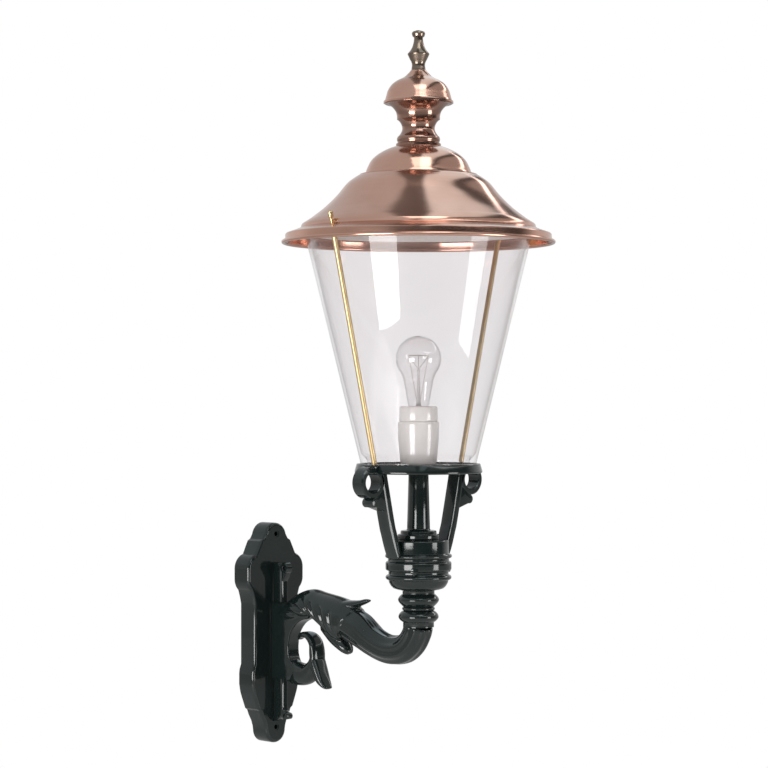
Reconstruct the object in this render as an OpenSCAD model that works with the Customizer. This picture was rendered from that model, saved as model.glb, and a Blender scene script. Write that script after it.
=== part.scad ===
// Wall lantern: a spun copper roof over a conical glass, carried by a painted cast bracket.
// Millimetres. X points out of the wall, Z points up. The origin is on the back face of
// the wall plate, midway between its two fixing holes.

/* [Placing] */
// Distance from the wall to the centre line of the lantern
reach = 310; // [290:1:340]
// Height of the arm's upright end above the middle of the wall plate
arm_rise = 25; // [18:1:34]

/* [Wall plate] */
// Depth of the plate's side wall, from the wall to the start of the edge bevel
plate_side = 24; // [20:1:30]
// Depth of the edge bevel
plate_bevel = 5; // [3:0.5:6]
// Thickness of the plate's walls
plate_wall = 4; // [3:0.5:5]
// Width across the head of the plate
head_w = 104; // [96:1:112]
// Width across the straight waist of the plate
waist_w = 80; // [74:1:86]
// Width across the lower swelling of the plate
foot_w = 87; // [84:1:94]
// Height of the plate's top tip above the middle of the plate
plate_top = 150.5; // [148:0.5:156]
// Depth of the plate's bottom tip below the middle of the plate
plate_drop = 157; // [155:0.5:162]
// Distance between the two fixing holes
fixing_spacing = 270; // [264:1:274]
// Diameter of a fixing hole
fixing_d = 6.5; // [4.5:0.5:8]

/* [Foot bar of the bracket] */
// Width of the foot bar
bar_w = 11; // [10:0.5:14]
// How far the foot bar stands out from the plate
bar_proud = 18; // [16:1:22]
// Diameter of the curled eye at the top of the foot bar
eye_d = 16; // [12:1:18]
// Thread diameter of the bolts that hold the foot bar
bar_bolt_d = 6; // [5:1:6]

/* [Arm] */
// Radius of the arm's upright end
arm_r = 19; // [18:0.5:20]
// Radius of the cable way through the arm
way_r = 4; // [3.5:0.5:5]
// Depth of the leaf flutes on the arm
flute_depth = 1.6; // [0:0.2:2.4]
// Height of the two beads between the arm and the collar
knuckle_h = 44; // [42:1:48]
// Radius of the spigot that enters the collar
spigot_r = 17.5; // [16:0.5:18.5]
// Length of the spigot
spigot_h = 42; // [38:1:46]

/* [Lantern fork] */
// Height of the collar, from its neck to its top face
collar_h = 70; // [66:1:76]
// Radius of the collar's plain upper part
collar_r = 40; // [38:0.5:42]
// Thickness of the collar's top, above the socket
collar_roof = 11; // [8:1:13]
// Running gap between the spigot and its socket
socket_gap = 0.3; // [0.2:0.1:0.6]
// Height of the fork, from the collar's neck to the top of the ring
fork_h = 170; // [164:1:178]
// Height of the ring under the glass
ring_h = 12.5; // [11:0.5:15]
// Width of a fork leg
leg_w = 20; // [16:1:24]
// Thickness of a fork leg
leg_t = 11; // [9:0.5:13]
// Outer diameter of the scroll on a leg
scroll_d = 41; // [38:1:44]
// Diameter of the hole in the scroll
scroll_hole_d = 26; // [22:1:28]
// Diameter of the small curl under the scroll
nub_d = 12.6; // [10:0.2:14]
// Thread diameter of the clamping screws in the collar
clamp_d = 10; // [8:1:10]

/* [Column] */
// Radius of the column at its foot
column_foot_r = 15.1; // [14:0.1:17]
// Radius of the column at its top
column_top_r = 13.2; // [12:0.1:14]
// Thread diameter of the hollow rod inside the column
hollow_rod_d = 13; // [12:1:14]

/* [Glass] */
// Thickness of the glass
glass_t = 4; // [3:0.5:5]
// Radius of the glass at its lower edge, outside
glass_foot_r = 75.9; // [75:0.1:76.2]
// Height of the glass
glass_h = 308.5; // [275:0.5:345]
// Thickness of the seal under the glass
seal_t = 2; // [1.5:0.5:2.5]

/* [Tie rods] */
// Outer diameter of the brass sleeves
sleeve_d = 6.8; // [6:0.1:7]
// Thread diameter of the rods
tie_d = 4; // [3:1:4]
// Length of a cap nut
cap_nut_h = 9; // [7:0.5:11]

/* [Lampholder and bulb] */
// Outer radius of the porcelain body at its top
holder_r = 27.3; // [26:0.1:29]
// Height of the porcelain body
holder_h = 57.7; // [54:0.1:60]
// Height of the porcelain ring
holder_ring_h = 20; // [18:1:22]
// Radius of the bulb
bulb_r = 30; // [27.5:0.5:32.5]
// Height of the bulb's top above the porcelain ring
bulb_rise = 92.8; // [88:0.1:96]

/* [Roof] */
// Thickness of the spun copper
sheet = 1.2; // [1:0.1:1.6]
// How far the glass reaches up into the roof, above the middle of the rolled rim
glass_in_roof = 15.2; // [12:0.2:16]
// Radius of the wall that stands on the flange
skirt_foot_r = 153.9; // [142:0.1:164]
// Gap between the upper edge of the glass and that wall
skirt_gap = 3; // [2.5:0.1:3.6]
// Outer radius of the rolled rim
rim_r = 180.3; // [170:0.1:200]
// Height of the roof from the rolled rim to the joint with the dome
skirt_h = 87.6; // [84:0.1:92]
// Height of the dome
dome_h = 38.2; // [36:0.1:42]
// Height of the neck
neck_h = 57; // [54:0.5:60]
// Height of the cap
cap_h = 43.6; // [42:0.1:48]
// Height of the finial
finial_h = 52; // [48:0.5:56]
// Thread diameter of the roof rod
roof_rod_d = 8; // [6:1:8]

/* [Hidden] */
$fn = 96;

green = "#16221f";
copper = "#c58a72";
brass = "#c9a35a";
bronze = "#a99474";
steel = "#8d9196";
porcelain = "#f1eeea";
clear = [0.86, 0.9, 0.92, 0.35];

// Points and curves

// Points on an arc, as [across, up]
function arc(c, r, from, to, n) =
    [for (i = [0:n]) let(a = from + (to - from) * i / n) [c[0] + r * cos(a), c[1] + r * sin(a)]];

// The same points with the first number turned round
function mirrored(points) = [for (i = [len(points) - 1:-1:0]) [-points[i][0], points[i][1]]];

// One point of a smooth curve between b and c
function blend(a, b, c, d, t) =
    0.5 * (2 * b + (c - a) * t + (2 * a - 5 * b + 4 * c - d) * t * t
           + (3 * b - a - 3 * c + d) * t * t * t);

// A smooth curve through the stations, n steps from each to the next
function smooth(s, n) = [
    for (i = [0:len(s) - 2], j = [0:n - 1])
        blend(s[max(i - 1, 0)], s[i], s[i + 1], s[min(i + 2, len(s) - 1)], j / n),
    s[len(s) - 1]
];

// The unit vector along a curve at point i
function heading(p, i) =
    let(d = p[min(i + 1, len(p) - 1)] - p[max(i - 1, 0)]) [d[0], d[1]] / norm([d[0], d[1]]);

// A sheet of thickness t whose outer face follows the points
function sheet_outline(p, t) = concat(p, [
    for (i = [len(p) - 1:-1:0]) let(h = heading(p, i)) [p[i][0] + h[1] * t, p[i][1] - h[0] * t]
]);

// Faces of the wall of a body made of rings of equal size
function wall_faces(rings, sides) = concat(
    [for (i = [0:rings - 2], k = [0:sides - 1])
        let(a = i * sides + k, b = i * sides + (k + 1) % sides) [a, b, a + sides]],
    [for (i = [0:rings - 2], k = [0:sides - 1])
        let(a = i * sides + k, b = i * sides + (k + 1) % sides) [b, b + sides, a + sides]]
);

// The same with a flat, round cap on both ends
function ring_faces(rings, sides) = concat(
    [[for (k = [sides - 1:-1:0]) k]],
    [[for (k = [0:sides - 1]) (rings - 1) * sides + k]],
    wall_faces(rings, sides)
);

// A cap on a ring whose two halves mirror each other, in level strips from tip to tip
function strip_cap(first, sides) =
    let(tip = sides / 2) concat(
        [[first, first + 1, first + sides - 1]],
        [for (k = [1:tip - 2])
            [first + k, first + k + 1, first + sides - k - 1, first + sides - k]],
        [[first + tip - 1, first + tip, first + tip + 1]]
    );

function turned_round(faces) = [for (f = faces) [for (k = [len(f) - 1:-1:0]) f[k]]];

// A body swept along an upright curve. Each station is
// [x, z, half height of the section, half width of the section].
module swept(stations, steps, sides, power = 1) {
    path = smooth(stations, steps);
    rings = [for (i = [0:len(path) - 1]) let(p = path[i], h = heading(path, i))
        [for (k = [0:sides - 1])
            let(a = 360 * k / sides,
                u = p[2] * sign(cos(a)) * pow(abs(cos(a)), power),
                v = p[3] * sign(sin(a)) * pow(abs(sin(a)), power))
            [p[0] - h[1] * u, v, p[1] + h[0] * u]]];
    polyhedron([for (r = rings) each r], ring_faces(len(path), sides), convexity = 6);
}

// Turned shapes stand on the lantern's centre line
module on_axis(z = 0) {
    translate([reach, 0, z]) children();
}

module turned(points, z = 0) {
    on_axis(z) rotate_extrude() polygon(points);
}

// A round bead on a turned piece, given by its outer radius and its height
module bead(z, r, h) {
    translate([r - h / 2, z]) circle(d = h);
}

module hex_prism(across, h) {
    cylinder(d = across / cos(30), h = h, $fn = 6);
}

// Heights that the pieces share
plate_t = plate_side + plate_bevel;
collar_z = arm_rise + knuckle_h;
collar_top = collar_z + collar_h;
socket_top = collar_top - collar_roof;
ring_top = collar_z + fork_h;
ring_bottom = ring_top - ring_h;
floor_t = 4;
floor_top = ring_bottom + floor_t;
rod_nut_h = 6;
seal_z = ring_top - 4.3;
glass_z = seal_z + seal_t;
glass_top = glass_z + glass_h;
holder_z = floor_top + rod_nut_h;
holder_split = holder_z + holder_h;
holder_top = holder_split + holder_ring_h;
bulb_top = holder_top + bulb_rise;
rim_z = glass_top - glass_in_roof;
skirt_top = rim_z + skirt_h;
dome_top = skirt_top + dome_h;
neck_top = dome_top + neck_h;
cap_top = neck_top + cap_h;

// Growth of the glass radius for each millimetre of height
glass_slope = (skirt_foot_r - skirt_gap - glass_foot_r) / glass_h;

// The glass, outside, at height z
function glass_r(z) = glass_foot_r + glass_slope * (z - glass_z);

// Wall plate

// Half the plate's outline from top to bottom, drawn in by the amount d
function plate_half(d) = concat(
    arc([0, plate_top - 20], 20 - d, 90, 12, 8),
    [[23.5 - d, plate_top - 22.5],
     [28 - d, plate_top - 25]],
    arc([head_w / 2 - 21, 87], 21 - d, 74, 0, 6),
    arc([head_w / 2 - 21, 73], 21 - d, 0, -48, 5),
    [[waist_w / 2 + 2 - d, 47],
     [waist_w / 2 - d, 38],
     [waist_w / 2 - d, -46],
     [foot_w / 2 - 1 - d, -52],
     [foot_w / 2 - d, -58],
     [foot_w / 2 - d, -73],
     [foot_w / 2 - 2 - d, -84],
     [foot_w / 2 - 5.5 - d, -94],
     [foot_w / 2 - 11 - d, -108],
     [foot_w / 2 - 14.5 - d, -110.5],
     [foot_w / 2 - 17.5 - d, -118],
     [21.5 - d, -plate_drop + 31],
     [18.8 - d, -plate_drop + 23]],
    arc([0, -plate_drop + 18], 18 - d, 0, -90, 8)
);

function plate_outline(d) =
    let(h = plate_half(d)) concat(mirrored(h), [for (i = [1:len(h) - 2]) h[i]]);

// Lays an outline drawn as [across, up] against the wall, thickened along X
module against_wall(x, t) {
    translate([x, 0, 0]) rotate([90, 0, 90]) linear_extrude(t) children();
}

// The plate's outer body: a straight side wall and a bevelled front edge
module plate_body() {
    outlines = [[0, 0], [plate_side, 0], [plate_t, plate_bevel * 0.7]];
    sides = len(plate_outline(0));
    polyhedron(
        [for (o = outlines) each [for (p = plate_outline(o[1])) [o[0], p[0], p[1]]]],
        concat(turned_round(strip_cap(0, sides)),
               strip_cap((len(outlines) - 1) * sides, sides),
               wall_faces(len(outlines), sides)),
        convexity = 4);
}

bar_bolt_z = [62, -92];
way_z = 22;

module wall_plate() color(green) difference() {
    union() {
        difference() {
            plate_body();
            against_wall(-1, plate_t - plate_wall + 1) polygon(plate_outline(plate_wall));
        }
        for (s = [-1, 1])
            translate([0, 0, s * fixing_spacing / 2]) rotate([0, 90, 0])
                cylinder(d = fixing_d + 8, h = plate_t - 1);
        translate([plate_t - plate_wall - 6, 24, 10]) rotate([0, 90, 0]) cylinder(d = 10, h = 7);
    }
    for (s = [-1, 1])
        translate([-1, 0, s * fixing_spacing / 2]) rotate([0, 90, 0])
            cylinder(d = fixing_d, h = plate_t + 2);
    for (z = bar_bolt_z)
        translate([plate_side - 6, 0, z]) rotate([0, 90, 0]) cylinder(d = bar_bolt_d + 0.6, h = 20);
    translate([plate_side - 6, 0, way_z]) rotate([0, 90, 0]) cylinder(r = way_r + 2, h = 20);
    translate([plate_t - plate_wall - 7, 24, 10]) rotate([0, 90, 0]) cylinder(d = 4, h = 7);
}

module foot_bar_bolts() color(steel) for (z = bar_bolt_z)
    translate([plate_t - plate_wall - 4, 0, z]) rotate([0, 90, 0]) {
        hex_prism(10, 4);
        cylinder(d = bar_bolt_d, h = 4 + plate_wall + 10);
    }

// Bracket arm

// A place along the arm, given as a share of the way from the plate to the lantern
function out(k) = plate_t + (reach - plate_t) * k;

// Centre line of the arm's tube beyond the leaf, with the half height and half width of
// its section. It starts in the pocket under the leaf's edge.
arm_line = [
    [out(0.525), 21, 22.5, 21.3],
    [out(0.615), arm_rise - 13, 23, 21.5],
    [out(0.695), arm_rise - 25, 20, 20],
    [out(0.775), arm_rise - 33, arm_r, 19.5],
    [out(0.84), arm_rise - 35, arm_r, arm_r],
    [out(0.91), arm_rise - 31.5, arm_r, arm_r],
    [out(0.96), arm_rise - 22, arm_r, arm_r],
    [out(0.99), arm_rise - 10, arm_r, arm_r],
    [out(1), arm_rise, arm_r, arm_r]
];

// The root of the arm and the leaf sleeve that wraps it: [x, z, half height, half width]
leaf_line = [
    [out(0.03), way_z - 2, 17, 7],
    [out(0.12), way_z + 6, 16, 12],
    [out(0.19), 36.5, 18, 17.5],
    [out(0.27), 42, 20, 20.5],
    [out(0.33), 39, 21.5, 22],
    [out(0.42), 30.5, 27, 24],
    [out(0.49), 23.5, 30.5, 26],
    [out(0.55), 17.5, 30, 27]
];

// Height of the leaf's flutes at place s, from 0 to 1, and angle a round the arm
function leaf_ridge(s, a) =
    let(side = pow(abs(sin(a)), 0.7) * (cos(a) > 0.55 ? max(0, 1 - (cos(a) - 0.55) * 4) : 1))
    flute_depth * side * sin(min(1, s * 3) * 90) * (abs(sin(a * 2.5 * sign(180 - a) + s * 620)) - 0.5);

// How far the leaf's scalloped edge reaches along the arm at angle a
function leaf_edge(a) = 7 * abs(cos(a * 2)) - 5 * pow(abs(sin(a)), 3);

// The sleeve's edge turns in to a pocket round the tube: each pair is
// [share of the radius, distance back along the arm]
leaf_lip = [[0.93, 0], [0.86, 5]];
arm_sides = 30;

// One ring of points round the station p, along the heading h. The station is set back by
// the distance back, and ridged by the leaf at the place s.
function arm_ring(p, h, s, share, back) = [
    for (k = [0:arm_sides - 1])
        let(a = 360 * k / arm_sides,
            m = (1 + (s < 0 ? 0 : leaf_ridge(s, a) / p[2])) * share,
            u = p[2] * cos(a) * m,
            v = p[3] * sin(a) * m,
            e = s < 0 ? 0 : leaf_edge(a) * pow(s, 4) - back)
        [p[0] - h[1] * u + h[0] * e, v, p[1] + h[0] * u + h[1] * e]
];

// The arm from its root through the leaf sleeve and the bare tube, as one body
module arm_body() {
    leaf = smooth(leaf_line, 4);
    tube = smooth(arm_line, 3);
    end = len(leaf) - 1;
    rings = concat(
        [for (i = [0:end]) arm_ring(leaf[i], heading(leaf, i), i / end, 1, 0)],
        [for (l = leaf_lip) arm_ring(leaf[end], heading(leaf, end), 1, l[0], l[1])],
        [for (i = [0:len(tube) - 1]) arm_ring(tube[i], heading(tube, i), -1, 1, 0)]
    );
    polyhedron([for (r = rings) each r], ring_faces(len(rings), arm_sides), convexity = 6);
}

// The pointed leaf tip that stands up from the end of the sleeve
leaf_tip_line = [
    [out(0.50), 44, 7, 15],
    [out(0.555), 46, 5.5, 12.5],
    [out(0.605), 48.5, 4, 8.5],
    [out(0.645), 51.5, 3.2, 5],
    [out(0.675), 53, 1.4, 2]
];

// One rib of the lobe that hangs from the underside of the sleeve
leaf_lobe_line = [
    [out(0.40), 12, 9, 7],
    [out(0.455), -2, 8.5, 6.5],
    [out(0.495), -11, 7.5, 6],
    [out(0.52), -17, 5.5, 4.8],
    [out(0.53), -21, 2.5, 2.4]
];
lobe_rib_gap = 8.5;

module leaf_lobe() {
    for (i = [-1:1])
        translate([-abs(i) * 3, i * lobe_rib_gap, abs(i) * 3.5]) swept(leaf_lobe_line, 2, 12);
}

// The tail scroll below the arm, from the foot bar round to its curled tip
tail_line = [
    [40, -47, 16, 6.5],
    [58, -54, 15, 9],
    [78, -62, 11, 11],
    [97, -59, 10.5, 12],
    [110, -45, 7.5, 12.5],
    [114, -27, 5, 12.5],
    [110, -11, 4.6, 12.5],
    [99, -2, 4.4, 11.5],
    [86, -2, 3.8, 9],
    [78, -8, 2.2, 5]
];
fluke_line = [
    [112, -28, 2.5, 9],
    [116, -46, 6.5, 12],
    [124, -61, 5.5, 11.5],
    [132, -68.5, 3.5, 9.5],
    [137, -71.5, 1.6, 6]
];

// Upright foot bar with its curled ends, drawn as [x, z]
module bar_side() {
    x0 = plate_t;
    x1 = plate_t + bar_proud;
    low = -112;
    eye_z = 88;
    difference() {
        union() {
            translate([x0, low]) square([bar_proud, eye_z - low]);
            polygon([[x0, eye_z], [x1 - 4, eye_z], [x1 - 8, 95], [x0, 95]]);
            translate([x1 + 3, eye_z]) circle(d = eye_d);
            polygon([[x1 - 2, 66], [x1 + 6, 81], [x1, 92], [x1 - 6, 92]]);
            polygon([[x0, -127], [x0 + 9, -124], [x1 - 3, -118], [x1 + 5, -121],
                     [x1 + 7, -114.5], [x1 + 2, -111], [x1, -102], [x0, -100]]);
            translate([x1 + 6, -117.5]) circle(r = 4.6);
        }
        translate([x1 + 3, eye_z]) circle(d = eye_d * 0.35);
    }
}

// Thicker root where the arm and the tail scroll meet the foot bar, drawn as [x, z]
module root_side() {
    polygon(concat(
        [[plate_t, 40], [plate_t + 19, 40]],
        [for (p = smooth([[out(0.16), 28], [out(0.13), 12], [out(0.115), -10], [out(0.125), -34],
                          [out(0.17), -50]], 3)) p],
        [[plate_t + 30, -66], [plate_t + 21, -65], [plate_t, -65]]
    ));
}

module in_side_view(w) {
    rotate([90, 0, 0]) linear_extrude(w, center = true) children();
}

knuckle_neck_r = 20.4;
knuckle_seat_r = 21.1;

// The turned end of the arm: a neck with two beads, then the spigot that enters the collar
module knuckles() {
    z0 = arm_rise - 1;
    on_axis() rotate_extrude() {
        translate([0, z0]) square([knuckle_neck_r, knuckle_h]);
        bead(z0 + 14, 26.3, 13);
        bead(z0 + 25.5, 21.6, 5);
        bead(z0 + 36, 27, 13);
        translate([0, z0 + knuckle_h - 2]) square([knuckle_seat_r, 3]);
        translate([0, z0 + 20]) square([spigot_r, collar_z + spigot_h - z0 - 20]);
    }
}

// Centre line of the cable way inside the arm, as [x, z]
way_line = [
    [out(0.03), way_z + 0.5], [out(0.12), way_z + 6], [out(0.19), 37], [out(0.27), 41],
    [out(0.42), 31], [out(0.51), 24],
    for (i = [1:len(arm_line) - 2]) [arm_line[i][0], arm_line[i][1]],
    [reach, arm_rise]
];

module cable_way() {
    line = concat([[plate_t - 6, way_z]], way_line, [[reach, arm_rise + 4]]);
    swept([for (p = line) [p[0], p[1], way_r, way_r]], 2, 10);
}

module bracket_casting() {
    arm_body();
    knuckles();
    swept(leaf_tip_line, 2, 12);
    leaf_lobe();
    swept(tail_line, 2, 16, 0.75);
    swept(fluke_line, 2, 14, 0.8);
    in_side_view(bar_w + 3) root_side();
    in_side_view(bar_w) bar_side();
}

module bracket_arm() color(green) difference() {
    difference() {
        bracket_casting();
        cable_way();
    }
    on_axis(arm_rise - 3) cylinder(r = way_r + 0.5, h = knuckle_h + spigot_h + 10);
    for (z = bar_bolt_z)
        translate([plate_t - 1, 0, z]) rotate([0, 90, 0]) cylinder(d = bar_bolt_d, h = 13);
}

// Electrical parts inside the wall plate

block_w = 26;
block_h = 40;
block_d = 15;
block_z = -22;
lead_r = 2.75;

module terminal_block() color("#dcdad2") difference() {
    translate([plate_t - plate_wall - block_d, -block_w / 2, block_z - block_h])
        cube([block_d, block_w, block_h]);
    for (i = [-1:1])
        translate([plate_t - plate_wall - block_d - 1, i * 8, block_z - block_h / 2])
            rotate([0, 90, 0]) cylinder(d = 5, h = 10);
}

module terminal_screws() color(brass) for (i = [-1:1])
    translate([plate_t - plate_wall - block_d + 2, i * 8, block_z - block_h / 2])
        rotate([0, 90, 0]) difference() {
            cylinder(d = 5, h = 7);
            translate([-3, -0.5, -1]) cube([6, 1, 2.2]);
        }

module earth_screw() color(brass)
    translate([plate_t - plate_wall - 6, 24, 10]) rotate([0, 90, 0]) {
        cylinder(d = 4, h = 6);
        translate([0, 0, -3]) difference() {
            cylinder(d = 8, h = 3);
            translate([-5, -0.6, -1]) cube([10, 1.2, 2.4]);
        }
    }

// The lead runs from the terminal block through the arm and the hollow rod to the holder
module inner_lead() color("#2b2b2b") {
    line = concat(
        [[17, block_z], [17, block_z + 7], [17, block_z + 14], [18, way_z - 14],
         [plate_t - 6, way_z - 1.5]],
        way_line,
        [[reach, arm_rise + 30], [reach, collar_top], [reach, ring_bottom],
         [reach, holder_z + 22]]
    );
    swept([for (p = line) [p[0], p[1], lead_r, lead_r]], 3, 8);
}

// Lantern fork: collar, two scroll legs and the ring, cast in one

module collar_profile() {
    z = collar_z;
    polygon(concat(
        [[0, z], [21.1, z], [21.1, z + 3], [28.3, z + 4.5], [33, z + 6], [36.2, z + 9],
         [38.8, z + 13.5], [39.5, z + 17], [39.5, z + 29], [40.8, z + 43], [collar_r, z + 44]],
        arc([collar_r - 2.5, collar_top - 2.5], 2.5, 0, 90, 4),
        [[0, collar_top]]
    ));
    bead(z + 20.5, 43.4, 6.5);
    bead(z + 32, 43.4, 5);
    translate([0, z + 32]) square([43.4, 7]);
    bead(z + 39, 43.4, 5);
    bead(z + 48.5, 44, 5.5);
}

ring_r_low = 84;
ring_r_high = 81.6;

module ring_profile() {
    polygon([[0, ring_bottom], [ring_r_low - 1, ring_bottom], [ring_r_low, ring_bottom + 1],
             [ring_r_low, ring_bottom + 3], [ring_r_high + 0.6, ring_top - 3],
             [ring_r_high, ring_top - 0.8], [ring_r_high - 0.8, ring_top],
             [glass_r(ring_top) + 1, ring_top], [glass_r(ring_top) + 1, seal_z],
             [glass_foot_r - 10, seal_z], [glass_foot_r - 14, floor_top], [0, floor_top]]);
}

scroll_c = [91.5, ring_top - 23];
nub_c = [87.5, ring_top - 49];
leg_foot_z = collar_z + 50;

// A leg in its own plane, drawn as [out from the centre line, up]
module leg_side() {
    inner = smooth([[38, leg_foot_z + 1], [43.5, leg_foot_z + 14], [49, leg_foot_z + 31],
                    [53.4, leg_foot_z + 46], [67.5, ring_bottom + 2]], 3);
    outer = [for (i = [len(inner) - 1:-1:0])
        let(h = heading(inner, i)) [inner[i][0] + h[1] * leg_t, inner[i][1] - h[0] * leg_t]];
    difference() {
        union() {
            polygon(concat(inner, outer));
            translate(scroll_c) circle(d = scroll_d);
            polygon([[68, ring_bottom], [73, ring_top], [scroll_c[0] + 8, ring_top],
                     [scroll_c[0] + 14, scroll_c[1] + 13], [74, scroll_c[1]]]);
            translate(nub_c) circle(d = nub_d);
            polygon([[66, nub_c[1] - 12], [nub_c[0] - 1, nub_c[1] - nub_d / 2],
                     [nub_c[0] + 1, nub_c[1] + nub_d / 2], [scroll_c[0] - 10, scroll_c[1] - 14],
                     [71, nub_c[1] + 8]]);
        }
        translate(scroll_c) circle(d = scroll_hole_d);
    }
}

module fork_leg() {
    translate([reach - leg_w / 2, 0, 0]) rotate([90, 0, 90]) linear_extrude(leg_w) leg_side();
}

clamp_z = collar_z + 31;
clamp_turn = [-52, 68, 188];

// The axis of a tie rod: it follows the slope of the glass just outside it
tie_gap = 0.3;
tie_tilt = atan(glass_slope);
tie_offset = (sleeve_d / 2 + tie_gap) / cos(tie_tilt);
function tie_y(z) = glass_r(z) + tie_offset;

// Puts its children on the axis of the tie rod at height z, on the side s
module on_tie(s, z) {
    translate([reach, s * tie_y(z), z]) rotate([-s * tie_tilt, 0, 0]) children();
}

module lantern_fork() color(green) difference() {
    union() {
        on_axis() rotate_extrude() collar_profile();
        on_axis() rotate_extrude() ring_profile();
        for (s = [0, 180]) on_axis() rotate(s) translate([-reach, 0, 0]) difference() {
            fork_leg();
            on_axis(collar_z) cylinder(r = collar_r - 1, h = collar_h + 5);
            on_axis(floor_top) cylinder(r = glass_r(ring_top) + 1, h = 30);
        }
    }
    on_axis(collar_z - 1) cylinder(r = spigot_r + socket_gap, h = socket_top - collar_z + 1);
    on_axis(socket_top - 1) cylinder(d = hollow_rod_d + 0.4, h = collar_roof + 2);
    on_axis(ring_bottom - 1) cylinder(d = hollow_rod_d + 0.4, h = floor_t + 2);
    for (a = clamp_turn) on_axis(clamp_z) rotate(a) translate([spigot_r - 1, 0, 0])
        rotate([0, 90, 0]) cylinder(d = clamp_d, h = 30);
    for (s = [-1, 1]) on_tie(s, ring_bottom) translate([0, 0, -10]) cylinder(d = tie_d, h = 40);
}

module collar_set_screws() color(green) for (a = clamp_turn)
    on_axis(clamp_z) rotate(a) translate([spigot_r, 0, 0]) rotate([0, 90, 0]) difference() {
        cylinder(d = clamp_d, h = 43.4 + 1.2 - spigot_r);
        translate([-8, -0.9, 43.4 - 1 - spigot_r]) cube([16, 1.8, 4]);
    }

// Column and hollow rod

module column() color(green) difference() {
    on_axis() rotate_extrude() {
        polygon([[0, collar_top], [27.6, collar_top], [27.6, collar_top + 6.3],
                 [26.6, collar_top + 7.3], [23.7, collar_top + 7.3], [23.7, collar_top + 11],
                 [22.7, collar_top + 12], [column_foot_r + 1.5, collar_top + 12],
                 [column_foot_r, collar_top + 14], [column_foot_r, collar_top + 16],
                 [column_top_r, ring_bottom], [0, ring_bottom]]);
    }
    on_axis(collar_top - 1) cylinder(d = hollow_rod_d + 0.6, h = ring_bottom - collar_top + 2);
}

module hollow_rod() color(brass) {
    low = socket_top - 8;
    high = holder_z + 10;
    difference() {
        on_axis(low) cylinder(d = hollow_rod_d, h = high - low);
        on_axis(low - 1) cylinder(r = lead_r + 1.2, h = high - low + 2);
    }
}

module hollow_rod_nuts() color(brass) for (z = [socket_top - rod_nut_h, floor_top])
    on_axis(z) difference() {
        hex_prism(19, rod_nut_h);
        translate([0, 0, -1]) cylinder(d = hollow_rod_d, h = rod_nut_h + 2);
    }

// Glass and its seals

rim_band_h = 10;
rim_band_t = 8.5;

module glass_shade() color(clear) turned([
    [glass_foot_r - 1.5, glass_z], [glass_foot_r, glass_z + 1.5],
    [glass_r(glass_top - 1), glass_top - 1], [glass_r(glass_top) - 1, glass_top],
    [glass_r(glass_top) - glass_t + 1, glass_top], [glass_r(glass_top - 1) - glass_t, glass_top - 1],
    [glass_r(glass_z + rim_band_h + 6) - glass_t, glass_z + rim_band_h + 6],
    [glass_r(glass_z + rim_band_h) - glass_t - 2.6, glass_z + rim_band_h + 1],
    [glass_foot_r - rim_band_t + 0.5, glass_z + rim_band_h - 3],
    [glass_foot_r - rim_band_t, glass_z + 1.5], [glass_foot_r - rim_band_t + 1.5, glass_z]
]);

module glass_seal_lower() color("#d8dcdc") turned([
    [glass_foot_r - rim_band_t - 1, seal_z], [glass_foot_r + 0.4, seal_z],
    [glass_foot_r + 0.4, glass_z], [glass_foot_r - rim_band_t - 1, glass_z]
]);

// Roof

collar_ring_r = 80;
lip_in = 5.1;

// A radius on the skirt, as a share of the way from its joint with the dome to its wall
function skirt_r(k) = collar_ring_r + (skirt_foot_r - collar_ring_r) * k;

// A radius on the eaves, as a share of the way from the wall to the lip over the rolled rim
function eaves_r(k) = skirt_foot_r + (rim_r - lip_in - skirt_foot_r) * k;

// The straight lower part of the skirt, which the upper seal rests against
skirt_bend_r = skirt_r(0.839);
skirt_bend_z = rim_z + 30.5;
skirt_foot_z = rim_z + 23.8;
skirt_slope = (skirt_foot_z - skirt_bend_z) / (skirt_foot_r - 1.3 - skirt_bend_r);
function skirt_under(r) =
    skirt_bend_z + skirt_slope * (r - skirt_bend_r) - sheet * sqrt(1 + skirt_slope * skirt_slope);

module glass_seal_upper() color("#c9c9c4") {
    lip = 1.4;
    gap = 0.3;
    depth = 6;
    clear_of_glass = 0.2;
    low = glass_top - depth;
    in_low = glass_r(low) - glass_t - clear_of_glass;
    in_top = glass_r(glass_top) - glass_t - clear_of_glass;
    out_top = glass_r(glass_top) - clear_of_glass;
    turned([
        [in_low - lip, low], [in_low, low], [in_top, glass_top], [out_top, glass_top],
        [out_top, skirt_under(out_top) - gap], [in_top - lip, skirt_under(in_top - lip) - gap]
    ]);
}

// The flange between the wall's foot and the rim, its outer face
flange_in = [eaves_r(0.075), rim_z + 18.3];
flange_out = [eaves_r(0.437), rim_z + 14.8];

roll_r = 2.6;

// Outer face of the skirt from the joint with the dome down to the rolled rim
skirt_line = concat(
    [[56, skirt_top], [collar_ring_r - 1, skirt_top], [collar_ring_r, skirt_top - 0.8]],
    smooth([[collar_ring_r + 2.5, skirt_top - 2], [skirt_r(0.191), skirt_top - 10.8],
            [skirt_r(0.368), skirt_top - 26.6], [skirt_r(0.591), skirt_top - 42.8],
            [skirt_bend_r, skirt_bend_z]], 4),
    [[skirt_foot_r - 1.3, skirt_foot_z], [skirt_foot_r, rim_z + 21.3], flange_in],
    smooth([flange_out, [eaves_r(0.756), rim_z + 12.5], [eaves_r(0.944), rim_z + 10],
            [eaves_r(1), rim_z + 7.3]], 3),
    [[eaves_r(1), rim_z + 4.2], [rim_r - roll_r, rim_z + roll_r]]
);

// Turned sheet with its outer face on the line. The sheet lies under a line that runs
// outward and down (side 1), and inside a line that runs upward (side -1).
module spun(line, side) {
    on_axis() rotate_extrude() polygon(sheet_outline(line, side * sheet));
}

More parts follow.
